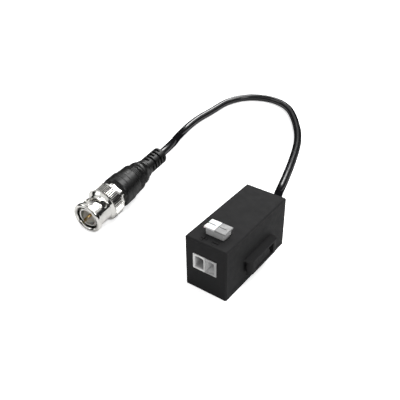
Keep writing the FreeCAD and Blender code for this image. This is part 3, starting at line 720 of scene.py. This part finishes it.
@dataclass
class MouldedCopy:
    """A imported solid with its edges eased, as a moulded or stamped piece has them.

    The weld is in metres. The crease and the flat angle are degrees.
    """

    node: str
    ease: float
    segments: int = 2
    crease: float = 32.0
    weld: float = 2e-6
    flat: float = 0.4

    def make(self, source: Piece) -> Piece:
        """Copies the solid's mesh, joins its loose triangles and rounds its sharp edges.

        Args:
            source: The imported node's object.

        Returns:
            The eased piece, which isn't dressed yet.
        """
        mesh = source.data.copy()
        mesh.name = self.node + "_eased"
        mesh.materials.clear()
        tidy_mesh(mesh, self.weld, self.crease, self.flat)
        piece = add_object(self.node + "_eased", mesh)
        bevel = piece.modifiers.new("ease", "BEVEL")
        bevel.width = self.ease * MM
        bevel.segments = self.segments
        bevel.limit_method = "ANGLE"
        bevel.angle_limit = math.radians(self.crease)
        bevel.harden_normals = True
        return piece


@dataclass
class Housing:
    """The black box: the eased shell with the engraved pole marks on its roof."""

    ease: float = 0.30
    crease: float = 40.0
    roof_height: float = 21.0
    mark_y: float = -17.2
    mark_x: tuple[float, float] = (-2.2, 2.4)
    mark_radius: float = 1.32
    ring_line: float = 0.11
    ring_columns: int = 64
    bar: float = 2.15
    line: float = 0.38
    depth: float = 0.20
    least_depth: float = 0.05

    def cutter_ring(self, centre: float) -> tuple[np.ndarray, np.ndarray]:
        """A square-section ring: the section's four corners (radius, height) are carried round the centre."""
        angle = np.linspace(0.0, 2 * np.pi, self.ring_columns, endpoint=False)[None, :]
        reach = self.mark_radius + self.ring_line * np.array([-0.5, 0.5, 0.5, -0.5])[:, None]
        height = self.roof_height + self.depth * np.array([-1.0, -1.0, 1.0, 1.0])[:, None]
        x, y = centre + reach * np.cos(angle), self.mark_y + reach * np.sin(angle)
        points = np.stack(np.broadcast_arrays(x, y, height), axis=-1) * MM
        return points.reshape(-1, 3), grid_faces(4, self.ring_columns, close_rows=True)

    def cutter_bar(self, centre: float, along_x: bool) -> tuple[np.ndarray, np.ndarray]:
        """A square bar through the centre: its four-cornered section at its two ends, which are closed."""
        half, width = self.bar / 2, self.line / 2
        reach = np.array([-half, half])[:, None] * np.ones(4)
        across = np.ones(2)[:, None] * width * np.array([-1.0, 1.0, 1.0, -1.0])
        height = self.roof_height + np.ones(2)[:, None] * self.depth * np.array([-1.0, -1.0, 1.0, 1.0])
        x, y = (reach, across) if along_x else (across, reach)
        points = np.stack([centre + x, self.mark_y + y, height], axis=-1) * MM
        faces = np.vstack([grid_faces(2, 4), [[0, 1, 2, 3], [7, 6, 5, 4]]])
        return points.reshape(-1, 3), faces

    def in_mark(self, middles: np.ndarray) -> np.ndarray:
        """Picks the faces that get the painted shade: those below the roof, down to the marks' depth, in the
        marks' row.
        """
        sunk = self.roof_height - middles[:, 2]
        near = np.abs(middles[:, 1] - self.mark_y) < 2 * self.mark_radius
        return near & (sunk > self.least_depth) & (sunk < 1.1 * self.depth)

    def make(self, source: Piece, finish: Finish, groove: Finish) -> Piece:
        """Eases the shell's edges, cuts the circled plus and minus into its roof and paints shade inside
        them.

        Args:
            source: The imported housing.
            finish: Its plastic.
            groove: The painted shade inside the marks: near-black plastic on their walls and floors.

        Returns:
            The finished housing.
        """
        piece = MouldedCopy("housing", self.ease).make(source)
        piece.data.materials.append(finish)
        piece.data.materials.append(groove)
        settle(piece)
        plus, minus = self.mark_x
        cuts = [self.cutter_ring(plus), self.cutter_bar(plus, True), self.cutter_bar(plus, False),
                self.cutter_ring(minus), self.cutter_bar(minus, True)]
        cutters = [make_piece(f"mark_cutter_{number}", *cut) for number, cut in enumerate(cuts)]
        for cutter in cutters:
            cut = piece.modifiers.new(cutter.name, "BOOLEAN")
            cut.operation = "DIFFERENCE"
            cut.solver = "EXACT"
            cut.object = cutter
        settle(piece)
        for cutter in cutters:
            bpy.data.objects.remove(cutter)
        # The marks' walls and floors get a painted shade: near-black plastic that stands in for the shade in
        # the engraving.
        paint(piece, 1, self.in_mark)
        piece.data.set_sharp_from_angle(angle=math.radians(self.crease))
        weighted = piece.modifiers.new("flat_faces", "WEIGHTED_NORMAL")
        weighted.keep_sharp = True
        settle(piece)
        return dress(piece, "housing", Body.BOX.value, "housing_plastic")


@dataclass
class PushTerminal:
    """The two pole push terminal: a white block and button at the plus pole, grey ones at the minus pole.

    The stem's box holds all of a button below its head. The slot's box holds the screwdriver slot in the
    head, whose faces get a painted shade, and its x is counted from the button's left side.
    """

    block_ease: float = 0.06
    button_ease: float = 0.07
    button_left: tuple[float, float] = (-4.06, 0.26)
    stem_low: Point = (-9.0, -19.0, 0.0)
    stem_high: Point = (9.0, 0.0, 23.2)
    slot_low: Point = (0.42, -12.4, 23.5)
    slot_high: Point = (3.2, -11.9, 23.87)

    def make(self, nodes: dict[str, Piece], slots: dict[str, str], finish: dict[str, Finish]) -> None:
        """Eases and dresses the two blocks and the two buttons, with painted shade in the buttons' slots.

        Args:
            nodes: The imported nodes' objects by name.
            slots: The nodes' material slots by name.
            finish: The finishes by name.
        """
        shades = {Pole.PLUS: "white", Pole.MINUS: "grey"}
        for pole, shade in shades.items():
            name = pole.value + "_terminal"
            piece = MouldedCopy(name, self.block_ease).make(nodes[name])
            dress(piece, name, nodes[name]["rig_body"], slots[name], finish[shade + "_terminal"])
        for (pole, shade), left in zip(shades.items(), self.button_left):
            name = pole.value + "_button"
            piece = MouldedCopy(name, self.button_ease).make(nodes[name])
            dress(piece, name, nodes[name]["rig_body"], slots[name], finish[shade + "_plastic"],
                  finish["stem_plastic"], finish["slot_painted_shade"])
            shift = np.array((left, 0.0, 0.0))
            paint(piece, 1, within(self.stem_low, self.stem_high))
            # The screwdriver slot's walls and floor get a painted shade, a darker grey than the head.
            paint(piece, 2, within(shift + self.slot_low, shift + self.slot_high))


@dataclass
class PiercedRing:
    """A turned ring with windows cut through one stretch of its wall.

    The slope step, in millimetres, measures the gap's slope. The corners near an edge are moved in rounds.
    """

    axes: PlugAxes
    stretch: tuple[float, float]
    steps: int
    columns: int
    outer: float
    inner: float
    slope_step: float = 0.02
    rounds: int = 2

    def angles(self) -> np.ndarray:
        """The even angles of the columns, in radians."""
        return np.linspace(0.0, 2 * np.pi, self.columns, endpoint=False)

    def wall(self, gap: GapRule) -> tuple[np.ndarray, np.ndarray]:
        """The wall's grid, whose corners near a window's edge are moved on to it, the gap's steepest way.

        Args:
            gap: The signed distance from the windows' edge.

        Returns:
            The corners' distances along the axis and their angles.
        """
        rows, angles = np.linspace(*self.stretch, self.steps), self.angles()
        along, angle = np.meshgrid(rows, angles, indexing="ij")
        cell = max(rows[1] - rows[0], angles[1] * self.outer)
        reach, turn = self.slope_step, self.slope_step / self.outer
        for _ in range(self.rounds):
            away = gap(along, angle)
            slope_along = (gap(along + reach, angle) - gap(along - reach, angle)) / (2 * reach)
            slope_round = (gap(along, angle + turn) - gap(along, angle - turn)) / (2 * reach)
            near = np.abs(away) < 0.5 * cell
            along = along - np.where(near, away * slope_along, 0.0)
            angle = angle - np.where(near, away * slope_round / self.outer, 0.0)
        return along, angle

    def windows(self, along: np.ndarray, angle: np.ndarray, gap: GapRule) -> np.ndarray:
        """Which cells of the wall's grid have their middles inside a window."""
        along_middle = (along[1:] + along[:-1]) / 2
        angle_middle = (angle[1:] + angle[:-1]) / 2
        step = (np.roll(angle_middle, -1, axis=1) - angle_middle + np.pi) % (2 * np.pi) - np.pi
        along_middle = (along_middle + np.roll(along_middle, -1, axis=1)) / 2
        return gap(along_middle, angle_middle + step / 2) < 0

    def make(self, name: str, behind: np.ndarray, ahead: np.ndarray, gap: GapRule,
             surface: WallRule) -> Piece:
        """Builds the ring as a grid round a closed section.

        The section's rows run back over the stretch outside, then behind it, forward over the stretch inside,
        and ahead of it to the start. Cells inside a window are left out of both walls, and new faces join the
        two walls round its edge.

        Args:
            name: The object's name.
            behind: (along, radius) rows between the stretch's outer and inner ends.
            ahead: (along, radius) rows between its inner and outer starts, or none.
            gap: The signed distance from the windows' edge.
            surface: The rule for the finished radius.

        Returns:
            The new object.
        """
        along, angle = self.wall(gap)
        window = self.windows(along, angle, gap)
        flat = np.ones(self.columns)
        outer, inner = (np.full(along.shape, radius) for radius in (self.outer, self.inner))
        behind_angle, ahead_angle = (np.ones((len(rows), 1)) * self.angles() for rows in (behind, ahead))
        all_along = np.vstack([along, behind[:, :1] * flat, along[::-1], ahead[:, :1] * flat])
        all_angle = np.vstack([angle, behind_angle, angle[::-1], ahead_angle])
        radius = np.vstack([outer, behind[:, 1:] * flat, inner, ahead[:, 1:] * flat])
        radius = surface(all_along, radius, all_angle, gap(all_along, all_angle))

        total, steps, inner_start = len(all_along), self.steps, self.steps + len(behind)
        keep = np.ones((total, self.columns), bool)
        keep[:steps - 1] = ~window
        keep[inner_start:inner_start + steps - 1] = ~window[::-1]
        if len(ahead) == 0:
            keep[-1] = ~window[0]
        walls = grid_faces(total, self.columns, close_rows=True).reshape(total, self.columns, 4)[keep]

        def outside(row: np.ndarray, column: np.ndarray) -> np.ndarray:
            """The numbers of corners of the outer wall."""
            return row * self.columns + column % self.columns

        def edge(row: np.ndarray, column: np.ndarray, down: int, across: int) -> np.ndarray:
            """Faces between the two walls, over the sides that run down or across from these corners."""
            under = inner_start + steps - 1 - row
            return np.stack([outside(row, column), outside(row + down, column + across),
                             outside(under - down, column + across), outside(under, column)], axis=-1)

        row, column = np.nonzero(window[1:] != window[:-1])
        across = edge(row + 1, column, 0, 1)
        row, column = np.nonzero(window != np.roll(window, 1, axis=1))
        faces = np.vstack([walls, across, edge(row, column, 1, 0)])
        return make_piece(name, self.axes.place(all_along, radius, all_angle), faces)


@dataclass
class CouplingNut:
    """The bayonet nut: rim, sleeve with two J shaped slots, knurled ring and rear shoulder.

    The detent is the middle of a slot's round hole and the ramp is the slot's other end, each as its angle in
    degrees and its distance back from the nut's mouth.
    """

    rim_radius: float = 6.55
    rim_length: float = 1.8
    sleeve_radius: float = 5.8
    bore_radius: float = 4.9
    cone_start: float = 8.6
    cone_radius: float = 6.7
    knurl_radius: float = 7.25
    knurl_start: float = 9.8
    knurl_end: float = 14.4
    knurl_count: int = 60
    knurl_depth: float = 0.42
    knurl_middle: float = 0.6
    # Faces whose radius lies more than this below the knurl's top get the painted shade.
    painted_shade_depth: float = 0.18
    end: float = 16.0
    flange: float = 11.15
    neck_radius: float = 4.10
    stretch: tuple[float, float] = (2.1, 8.45)
    steps: int = 56
    columns: int = 480
    detent: tuple[float, float] = (50.0, 6.5)
    detent_radius: float = 1.5
    ramp: tuple[float, float] = (116.0, 4.4)
    slot_half: float = 1.0
    lip: float = 0.16
    lip_middle: float = 0.05
    lip_width: float = 0.38

    def gap(self, along: np.ndarray, angle: np.ndarray) -> np.ndarray:
        """How far a point of the sleeve is from the slots' edge, less than nothing inside them.

        A slot is the union of a round hole and a straight band of even width, both on the unrolled sleeve,
        and a second one lies half a turn on.

        Args:
            along: Distances back from the mouth.
            angle: Angles about the axis, in radians.

        Returns:
            The signed distances, in millimetres.
        """
        nearest = np.full(np.broadcast(along, angle).shape, np.inf)
        for turn in (0.0, np.pi):
            start = math.radians(self.detent[0]) + turn
            round_way = (angle - start + np.pi) % (2 * np.pi) - np.pi
            x, y = round_way * self.sleeve_radius, along - self.detent[1]
            end_x = math.radians(self.ramp[0] - self.detent[0]) * self.sleeve_radius
            end_y = self.ramp[1] - self.detent[1]
            share = np.clip((x * end_x + y * end_y) / (end_x ** 2 + end_y ** 2), 0.0, 1.0)
            band = np.hypot(x - share * end_x, y - share * end_y) - self.slot_half
            hole = np.hypot(x, y) - self.detent_radius
            nearest = np.minimum(nearest, np.minimum(band, hole))
        return nearest

    def ridge(self, angle: np.ndarray) -> np.ndarray:
        """The knurl's height round the nut, 0 in a groove and 1 on a ridge: a wave with its ends cut flat."""
        return np.clip(self.knurl_middle + np.cos(angle * self.knurl_count), 0.0, 1.0)

    def surface(self, along: np.ndarray, radius: np.ndarray, angle: np.ndarray,
                gap: np.ndarray) -> np.ndarray:
        """The radius with the knurl's grooves, and the lip exp(-((gap - middle) / width)^2) round the slots.

        Args:
            along: Distances back from the mouth.
            radius: The plain radii.
            angle: Angles about the axis.
            gap: Distances from the slots' edge.

        Returns:
            The finished radii.
        """
        in_band = (along >= self.knurl_start - 1e-6) & (along <= self.knurl_end + 1e-6)
        in_band &= radius > self.bore_radius + 1
        grooved = np.where(in_band, radius - self.knurl_depth * (1 - self.ridge(angle)), radius)
        outside = radius > (self.sleeve_radius + self.bore_radius) / 2
        lip = self.lip * np.exp(-((gap - self.lip_middle) / self.lip_width) ** 2)
        return np.where(outside & (along < self.knurl_start - 1), grooved + lip, grooved)

    def make(self, axes: PlugAxes, finish: Finish, groove: Finish) -> Piece:
        """Builds the nut as one closed surface with its slots cut through, and paints shade into the bottom
        of its knurl.

        Args:
            axes: The plug's axes.
            finish: Its plating.
            groove: The painted shade at the bottom of the knurl: dark, rough plating on the grooves' faces.

        Returns:
            The finished nut.
        """
        knurl, shoulder = self.knurl_radius, self.knurl_radius - 0.12
        behind = rounded([
            (self.stretch[1], self.sleeve_radius, 0), (self.cone_start, self.sleeve_radius, 0.15),
            (self.knurl_start - 0.1, self.cone_radius, 0.08), (self.knurl_start, knurl - 0.2, 0.03),
            (self.knurl_start + 0.2, knurl, 0.05), (self.knurl_end - 0.05, knurl, 0.05),
            (self.knurl_end, shoulder, 0.04), (self.end - 0.75, shoulder, 0.3), (self.end, knurl - 1.1, 0.25),
            (self.end, self.neck_radius, 0.1), (self.flange, self.neck_radius, 0.1),
            (self.flange, self.bore_radius, 0.1), (self.stretch[1], self.bore_radius, 0),
        ])
        bore, rim = self.bore_radius, self.rim_radius
        ahead = rounded([
            (self.stretch[0], bore, 0), (0.5, bore, 0.15), (0.0, bore + 0.5, 0.15), (0.0, rim - 0.5, 0.2),
            (0.5, rim, 0.25), (self.rim_length, rim, 0.25), (self.rim_length, self.sleeve_radius, 0.12),
            (self.stretch[0], self.sleeve_radius, 0),
        ])
        ring = PiercedRing(axes, self.stretch, self.steps, self.columns, self.sleeve_radius, self.bore_radius)
        piece = ring.make("coupling_nut_turned", behind[1:-1], ahead[1:-1], self.gap, self.surface)

        def in_groove_shade(middles: np.ndarray) -> np.ndarray:
            """Picks the faces at the bottom of the knurl, which get the painted shade."""
            place = middles - axes.mouth / MM
            along = place @ axes.back
            radius = np.linalg.norm(place - along[:, None] * axes.back, axis=1)
            return (along > self.knurl_start) & (along < self.knurl_end) & (radius < knurl - self.painted_shade_depth)

        dress(piece, "coupling_nut", Body.NUT.value, "nickel", finish, groove)
        # The bottom of the knurl gets a painted shade: dark plating that stands in for the shade in the
        # grooves.
        paint(piece, 1, in_groove_shade)
        return piece


@dataclass
class PlugInside:
    """What shows inside the plug and behind the nut: contact body, insulator, pin, gasket and collar.

    The body's front is four sprung fingers that lean in towards their tips. Its flange carries the gasket,
    its neck the washers and the collar, and its tail the crimped cable.
    """

    axes: PlugAxes
    finger_start: float = 0.95
    finger_end: float = 5.4
    finger_length: float = 4.5
    finger_gap: float = 0.45
    finger_lean: float = 0.06
    finger_angle: float = 50.0
    contact_outer: float = 4.05
    contact_inner: float = 3.55
    contact_end: float = 6.2
    contact_steps: int = 44
    contact_columns: int = 360
    flange: tuple[float, float] = (8.0, 9.4)
    flange_radius: float = 4.75
    neck_radius: float = 4.04
    neck_end: float = 18.1
    tail_radius: float = 2.6
    tail_end: float = 24.0
    tail_bore: float = 1.18
    cup_end: float = 17.2
    pin_radius: float = 0.675
    collar_flat: float = 5.2
    collar_columns: int = 192
    pin_columns: int = 48

    def outer_contact(self, finish: Finish) -> Piece:
        """The nickelled body with four slots in its sprung front, its flange and its neck.

        Args:
            finish: Its plating.

        Returns:
            The finished body.
        """
        outer, inner, neck = self.contact_outer, self.contact_inner, self.neck_radius
        front, back = self.flange
        behind = rounded([
            (self.contact_end, outer, 0), (front, outer, 0.1), (front, self.flange_radius, 0.1),
            (back, self.flange_radius, 0.1), (back, neck, 0.1), (self.neck_end, neck, 0.15),
            (self.neck_end, self.tail_radius, 0.1), (self.tail_end, self.tail_radius, 0.1),
            (self.tail_end, self.tail_bore, 0.1), (self.cup_end, self.tail_bore, 0.1),
            (self.cup_end, inner, 0.1), (self.contact_end, inner, 0),
        ])

        def gap(along: np.ndarray, angle: np.ndarray) -> np.ndarray:
            """Four straight slots that run back from the front edge, a quarter turn apart."""
            quarter = (angle - math.radians(self.finger_angle) + np.pi / 4) % (np.pi / 2) - np.pi / 4
            return np.maximum(np.abs(quarter) * outer - self.finger_gap / 2, along - self.finger_end)

        def surface(along: np.ndarray, radius: np.ndarray, angle: np.ndarray, away: np.ndarray) -> np.ndarray:
            """The radius less the lean, which grows as the square of the way to the tip."""
            share = np.clip((self.finger_end - along) / self.finger_length, 0.0, 1.0)
            return radius - share ** 2 * self.finger_lean

        stretch = (self.finger_start, self.contact_end)
        ring = PiercedRing(self.axes, stretch, self.contact_steps, self.contact_columns, outer, inner)
        piece = ring.make("plug_body_turned", behind[1:-1], np.zeros((0, 2)), gap, surface)
        return dress(piece, "plug_body", Body.BOX.value, "nickel", finish)

    def turned(self, node: str, slot: str, finish: Finish, corners: Sequence[Corner], columns: int = 128,
               closed: bool = True, radius: RadiusRule | None = None) -> Piece:
        """Turns one plain piece of the plug.

        Args:
            node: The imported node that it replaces.
            slot: Its material slot.
            finish: Its material.
            corners: (along, radius, rounding) of its outline's corners. A last one that repeats the first
                closes the outline in the middle of a side.
            columns: How many steps there are round the axis.
            closed: Whether the outline is closed.
            radius: A rule for the radius where the piece isn't quite round.

        Returns:
            The dressed piece.
        """
        outline = rounded(corners)
        if corners[0] == corners[-1]:
            outline = outline[:-1]
        piece = turned_piece(node + "_turned", self.axes, outline, columns, closed, radius)
        return dress(piece, node, Body.BOX.value, slot, finish)

    def insulator(self, finish: Finish) -> Piece:
        """The white insulator, slightly dished at its front round the pin."""
        return self.turned("plug_insulator", "insulator_plastic", finish, [
            (8.5, 0.72, 0), (5.9, 0.72, 0.15), (5.6, 1.2, 0.25), (5.6, 3.51, 0.18), (17.1, 3.51, 0.1),
            (17.1, 1.3, 0.1), (8.5, 1.3, 0),
        ])

    def pin(self, finish: Finish) -> Piece:
        """The centre pin with its tapered, rounded tip and the collar that holds it in the insulator."""
        pin = self.pin_radius
        return self.turned("centre_pin", "gilt_brass", finish, [
            (1.3, 0.0, 0), (1.3, 0.28, 0.15), (2.2, pin, 0.2), (8.6, pin, 0.05), (8.6, 1.2, 0.05),
            (11.0, 1.2, 0.05), (11.0, pin, 0.05), (20.0, pin, 0.05), (20.0, 0.0, 0),
        ], self.pin_columns, closed=False)

    def gasket(self, finish: Finish) -> Piece:
        """The soft ring on the flange."""
        return self.turned("mouth_gasket", "gasket_rubber", finish, [
            (7.6, 4.09, 0), (7.2, 4.09, 0.2), (7.2, 4.78, 0.2), (8.0, 4.78, 0.1), (8.0, 4.09, 0.1),
            (7.6, 4.09, 0),
        ])

    def collar(self, finish: Finish) -> Piece:
        """The collar behind the nut: a turned ring, whose six flats limit the radius to flat / cos(angle)."""

        def flats(along: np.ndarray, radius: np.ndarray, angle: np.ndarray) -> np.ndarray:
            """Cuts the radius to the nearest of six flats."""
            sixth = (angle + np.pi / 6) % (np.pi / 3) - np.pi / 6
            return np.minimum(radius, self.collar_flat / np.cos(sixth)) * np.ones_like(along)

        return self.turned("clamp_collar", "nickel", finish, [
            (17.1, 4.08, 0), (16.1, 4.08, 0.05), (16.1, 5.0, 0.08), (16.4, 5.0, 0.08), (16.4, 5.5, 0.15),
            (18.1, 5.6, 0.1), (18.1, 4.08, 0.05), (17.1, 4.08, 0),
        ], self.collar_columns, radius=flats)


@dataclass
class Boot:
    """The rubber boot: a grip with seam rings and fine grooves, a second step and a slotted strain relief.

    Rows of the section whose radius is under the bore's limit lie in the bore, and stay plain.
    """

    start: float = 18.1
    end: float = 50.0
    mouth_radius: float = 4.6
    grip_radius: float = 6.75
    waist_radius: float = 4.75
    step_radius: float = 5.2
    neck_radius: float = 4.12
    relief_radius: float = 3.7
    cable_radius: float = 1.74
    socket_radius: float = 2.64
    bore_limit: float = 2.7
    seams: tuple[float, ...] = (21.55, 24.15)
    seam_width: float = 0.24
    seam_depth: float = 0.14
    groove_first: float = 28.1
    groove_pitch: float = 0.75
    groove_count: int = 5
    groove_depth: float = 0.20
    groove_edge: float = 0.12
    relief_first: float = 39.9
    relief_pitch: float = 1.95
    relief_count: int = 5
    relief_width: float = 0.95
    relief_depth: float = 0.65
    relief_edge: float = 0.16
    bridge_half: float = 0.42
    bridge_edge: float = 0.12
    columns: int = 192
    row_step: float = 0.075

    def outline(self) -> np.ndarray:
        """The boot's rounded section, with close rows where it is grooved.

        Returns:
            (along, radius) points, outside first and then back along the bore.
        """
        grip, waist, step, neck = self.grip_radius, self.waist_radius, self.step_radius, self.neck_radius
        profile = rounded([
            (self.start, self.mouth_radius, 0), (self.start, 6.2, 0.25), (self.start + 0.7, grip, 0.45),
            (23.9, grip - 0.03, 0.15), (24.1, 6.38, 0.15), (31.1, 6.02, 0.5), (32.7, waist, 0.35),
            (33.4, waist, 0.2), (33.7, step, 0.3), (34.8, step, 0.5), (37.3, neck, 0.3), (38.3, neck, 0.3),
            (38.7, self.relief_radius, 0.2), (self.end, self.relief_radius, 0.35),
            (self.end, self.cable_radius, 0.1), (46.2, self.cable_radius, 0),
        ], 6)
        turn = int(np.argmax(profile[:, 0] >= self.end - 0.36))
        outside, tail = profile[:turn], profile[turn:]
        body = outside[outside[:, 0] > self.start + 0.4]
        front = outside[outside[:, 0] <= self.start + 0.4]
        close = np.arange(20.0, self.end - 0.4, self.row_step)
        along = np.unique(np.concatenate([profile[:, 0], close]))
        along = along[(along > body[0, 0]) & (along < self.end - 0.38)]
        grooved = np.column_stack([along, np.interp(along, body[:, 0], body[:, 1])])
        bore = [(46.1, 2.49), (24.4, self.socket_radius), (self.start, self.socket_radius)]
        return np.vstack([front, grooved, tail, bore])

    def surface(self, along: np.ndarray, radius: np.ndarray, angle: np.ndarray) -> np.ndarray:
        """The radius less the seam rings, the fine grooves and the strain relief's windows.

        A groove's depth falls off smoothly at its edges. A window is a relief groove except where a bridge
        crosses it, and the bridges of one groove lie a quarter turn from those of the next.

        Args:
            along: Distances back from the mouth.
            radius: The plain radii.
            angle: Angles about the axis.

        Returns:
            The finished radii.
        """

        def groove(middle: float, width: float, edge: float) -> np.ndarray:
            """1 in a groove and 0 outside it, with smooth edges."""
            return smooth_step((width / 2 - np.abs(along - middle)) / edge + 0.5)

        cut = sum(self.seam_depth * groove(seam, self.seam_width, self.groove_edge) for seam in self.seams)
        for number in range(self.groove_count):
            place = self.groove_first + (number + 0.25) * self.groove_pitch
            cut = cut + self.groove_depth * groove(place, self.groove_pitch * 0.45, self.groove_edge)
        for number in range(self.relief_count):
            place = self.relief_first + number * self.relief_pitch + self.relief_width / 2
            shift = math.radians(45.0) + (number % 2) * np.pi / 2
            half = (angle - shift + np.pi / 2) % np.pi - np.pi / 2
            bridge = smooth_step((self.bridge_half - np.abs(half)) / self.bridge_edge + 0.5)
            window = groove(place, self.relief_width, self.relief_edge) * (1 - bridge)
            cut = cut + self.relief_depth * window
        return np.where(radius > self.bore_limit, radius - cut, radius * np.ones_like(angle))

    def make(self, axes: PlugAxes, finish: Finish) -> Piece:
        """Builds the boot.

        Args:
            axes: The plug's axes.
            finish: Its rubber.

        Returns:
            The finished boot.
        """
        piece = turned_piece("plug_boot_moulded", axes, self.outline(), self.columns, radius=self.surface)
        return dress(piece, "plug_boot", Body.BOX.value, "boot_rubber", finish)


@dataclass
class Cable:
    """The pigtail's cable, as one smooth spline through the same points as its solid."""

    diameter: float = 3.6
    length: float = 247.5
    exit_y: float = 19.5
    exit_height: float = 10.0
    start: float = 15.5
    run_out: float = 29.5
    lying: tuple[tuple[float, float], ...] = (
        (-8.1, 43.5), (-11.9, 57.3), (-17.7, 75.5), (-24.8, 93.8), (-35.6, 110.1), (-46.6, 122.2),
        (-59.2, 125.6), (-71.2, 120.5), (-77.5, 109.0), (-77.4, 94.5), (-78.4, 79.9), (-75.0, 60.9),
    )
    plug_run_in: float = 60.5
    plug_end: float = 42.0

    def points(self, axes: PlugAxes) -> np.ndarray:
        """The route's points: out of the box, round on the table and into the back of the boot.

        Args:
            axes: The plug's axes.

        Returns:
            The points in metres.
        """
        lying = np.column_stack([np.array(self.lying), np.full(len(self.lying), self.diameter / 2)])
        ahead = np.array([(0.0, self.start, self.exit_height), (0.0, self.run_out, self.exit_height)])
        behind = axes.place(np.array([self.plug_run_in, self.plug_end]), 0.0, 0.0)
        return np.vstack([ahead * MM, lying * MM, behind])

    def make(self, axes: PlugAxes, finish: Finish, plug: Sequence[Piece]) -> Piece:
        """Lays the cable.

        Args:
            axes: The plug's axes.
            finish: Its jacket.
            plug: Not used.

        Returns:
            The cable's curve.
        """
        curve = bpy.data.curves.new("cable_jacket", "CURVE")
        curve.dimensions = "3D"
        curve.bevel_depth = self.diameter / 2 * MM
        curve.bevel_resolution = 10
        curve.resolution_u = 24
        curve.use_fill_caps = True
        spline = curve.splines.new("NURBS")
        places = self.points(axes)
        spline.points.add(len(places) - 1)
        spline.points.foreach_set("co", np.column_stack([places, np.ones(len(places))]).ravel())
        spline.order_u = 3
        spline.use_endpoint_u = True
        piece = dress(add_object("cable_jacket", curve), "cable", Body.BOX.value, "cable_jacket", finish)
        return piece


@dataclass
class Balun:
    """The whole object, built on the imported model."""

    frame: dict

    @staticmethod
    def finishes(axes: PlugAxes) -> dict[str, Finish]:
        """Builds every finish once, by the name of its slot in the record."""
        made = [
            Moulding("housing_plastic", (0.020, 0.020, 0.0205), 0.60, grain=0.10, mottling=0.05,
                     specular=0.05),
            # Painted shade for the inside of the engraved marks.
            Moulding("mark_painted_shade", grey(0.005), 0.70, specular=0.05),
            Moulding("bush_plastic", grey(0.008), 0.70, specular=0.04),
            BoardLaminate(),
            Moulding("ferrite", (0.05, 0.05, 0.055), 0.6, grain=0.2, grain_depth=0.02),
            SheetMetal("enamelled_wire", (0.55, 0.22, 0.07), 0.30),
            Moulding("capacitor_ceramic", (0.62, 0.25, 0.04), 0.35, grain=0.4, grain_depth=0.02),
            Moulding("arrester_ceramic", (0.75, 0.75, 0.72), 0.25),
            Moulding("cable_jacket", (0.006, 0.006, 0.007), 0.14, grain=0.5, grain_depth=0.002, specular=0.40,
                     edge_specular=0.0),
            SheetMetal("copper", (0.80, 0.38, 0.20), 0.35),
            GlossMoulding("white_plastic", (0.86, 0.86, 0.85), 0.38, mottling=0.02, subsurface=0.08),
            GlossMoulding("grey_plastic", grey(0.27), 0.42),
            GlossMoulding("stem_plastic", grey(0.52), 0.42),
            # Painted shade: the white terminal's colour darkens inside its cells.
            GlossMoulding("white_terminal", (0.70, 0.70, 0.69), 0.40, mottling=0.02, painted_cell_light=grey(0.50),
                          painted_cell_span=(-19.6, -19.1)),
            # Painted light: the grey terminal's colour lightens inside its cells.
            GlossMoulding("grey_terminal", grey(0.36), 0.42, painted_cell_light=grey(0.86)),
            # Painted shade for the slots in the buttons' heads.
            Moulding("slot_painted_shade", grey(0.36), 0.6),
            SheetMetal("tinned_metal", (0.72, 0.71, 0.68), 0.38),
            SheetMetal("spring_steel", grey(0.60), 0.28),
            TurnedMetal("nickel", (0.74, 0.73, 0.70), 0.10, axes),
            # Painted shade for the bottom of the knurl's grooves.
            TurnedMetal("nickel_painted_shade", (0.03, 0.029, 0.028), 0.45, axes),
            GlossMoulding("insulator_plastic", (0.82, 0.81, 0.78), 0.45, grain_depth=0.01, subsurface=0.15),
            TurnedMetal("gilt_brass", (0.86, 0.62, 0.26), 0.16, axes),
            Moulding("gasket_rubber", grey(0.02), 0.6),
            Moulding("core_plastic", (0.75, 0.74, 0.70), 0.5),
            Moulding("boot_rubber", grey(0.006), 0.28, grain=0.16, grain_depth=0.008, specular=0.29,
                     edge_specular=0.02),
        ]
        return {finish.name: finish.material() for finish in made}

    def build(self) -> None:
        """Builds and dresses every piece, the plug and its cable first."""
        nodes = self.frame["nodes"]
        slots = {part["node"]: part["material_slot"] for part in self.frame["record"]["subparts"]}
        axes = PlugAxes.from_joints(self.frame["joints"])
        finish = self.finishes(axes)
        inside = PlugInside(axes)
        plug = [
            CouplingNut().make(axes, finish["nickel"], finish["nickel_painted_shade"]),
            inside.outer_contact(finish["nickel"]),
            inside.insulator(finish["insulator_plastic"]),
            inside.pin(finish["gilt_brass"]),
            inside.gasket(finish["gasket_rubber"]),
            inside.collar(finish["nickel"]),
            Boot().make(axes, finish["boot_rubber"]),
            nodes["crimp_ferrule"], nodes["cable_core"], nodes["thrust_washer"], nodes["wave_washer"],
        ]
        Cable().make(axes, finish["cable_jacket"], plug)
        Housing().make(nodes["housing"], finish["housing_plastic"], finish["mark_painted_shade"])
        PushTerminal().make(nodes, slots, finish)
        for name, node in nodes.items():
            if not node.hide_render:
                node.data.materials.clear()
                node.data.materials.append(finish[slots[name]])


def main() -> None:
    """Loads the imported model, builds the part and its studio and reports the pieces."""
    logging.basicConfig(level=logging.INFO, format="%(name)s: %(message)s")
    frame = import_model()
    bpy.context.scene.view_settings.view_transform = "Standard"
    PhotoCamera().make()
    Balun(frame).build()
    Studio().make()
    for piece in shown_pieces():
        LOG.info("piece %s", piece.name)


if __name__ == "__main__":
    main()
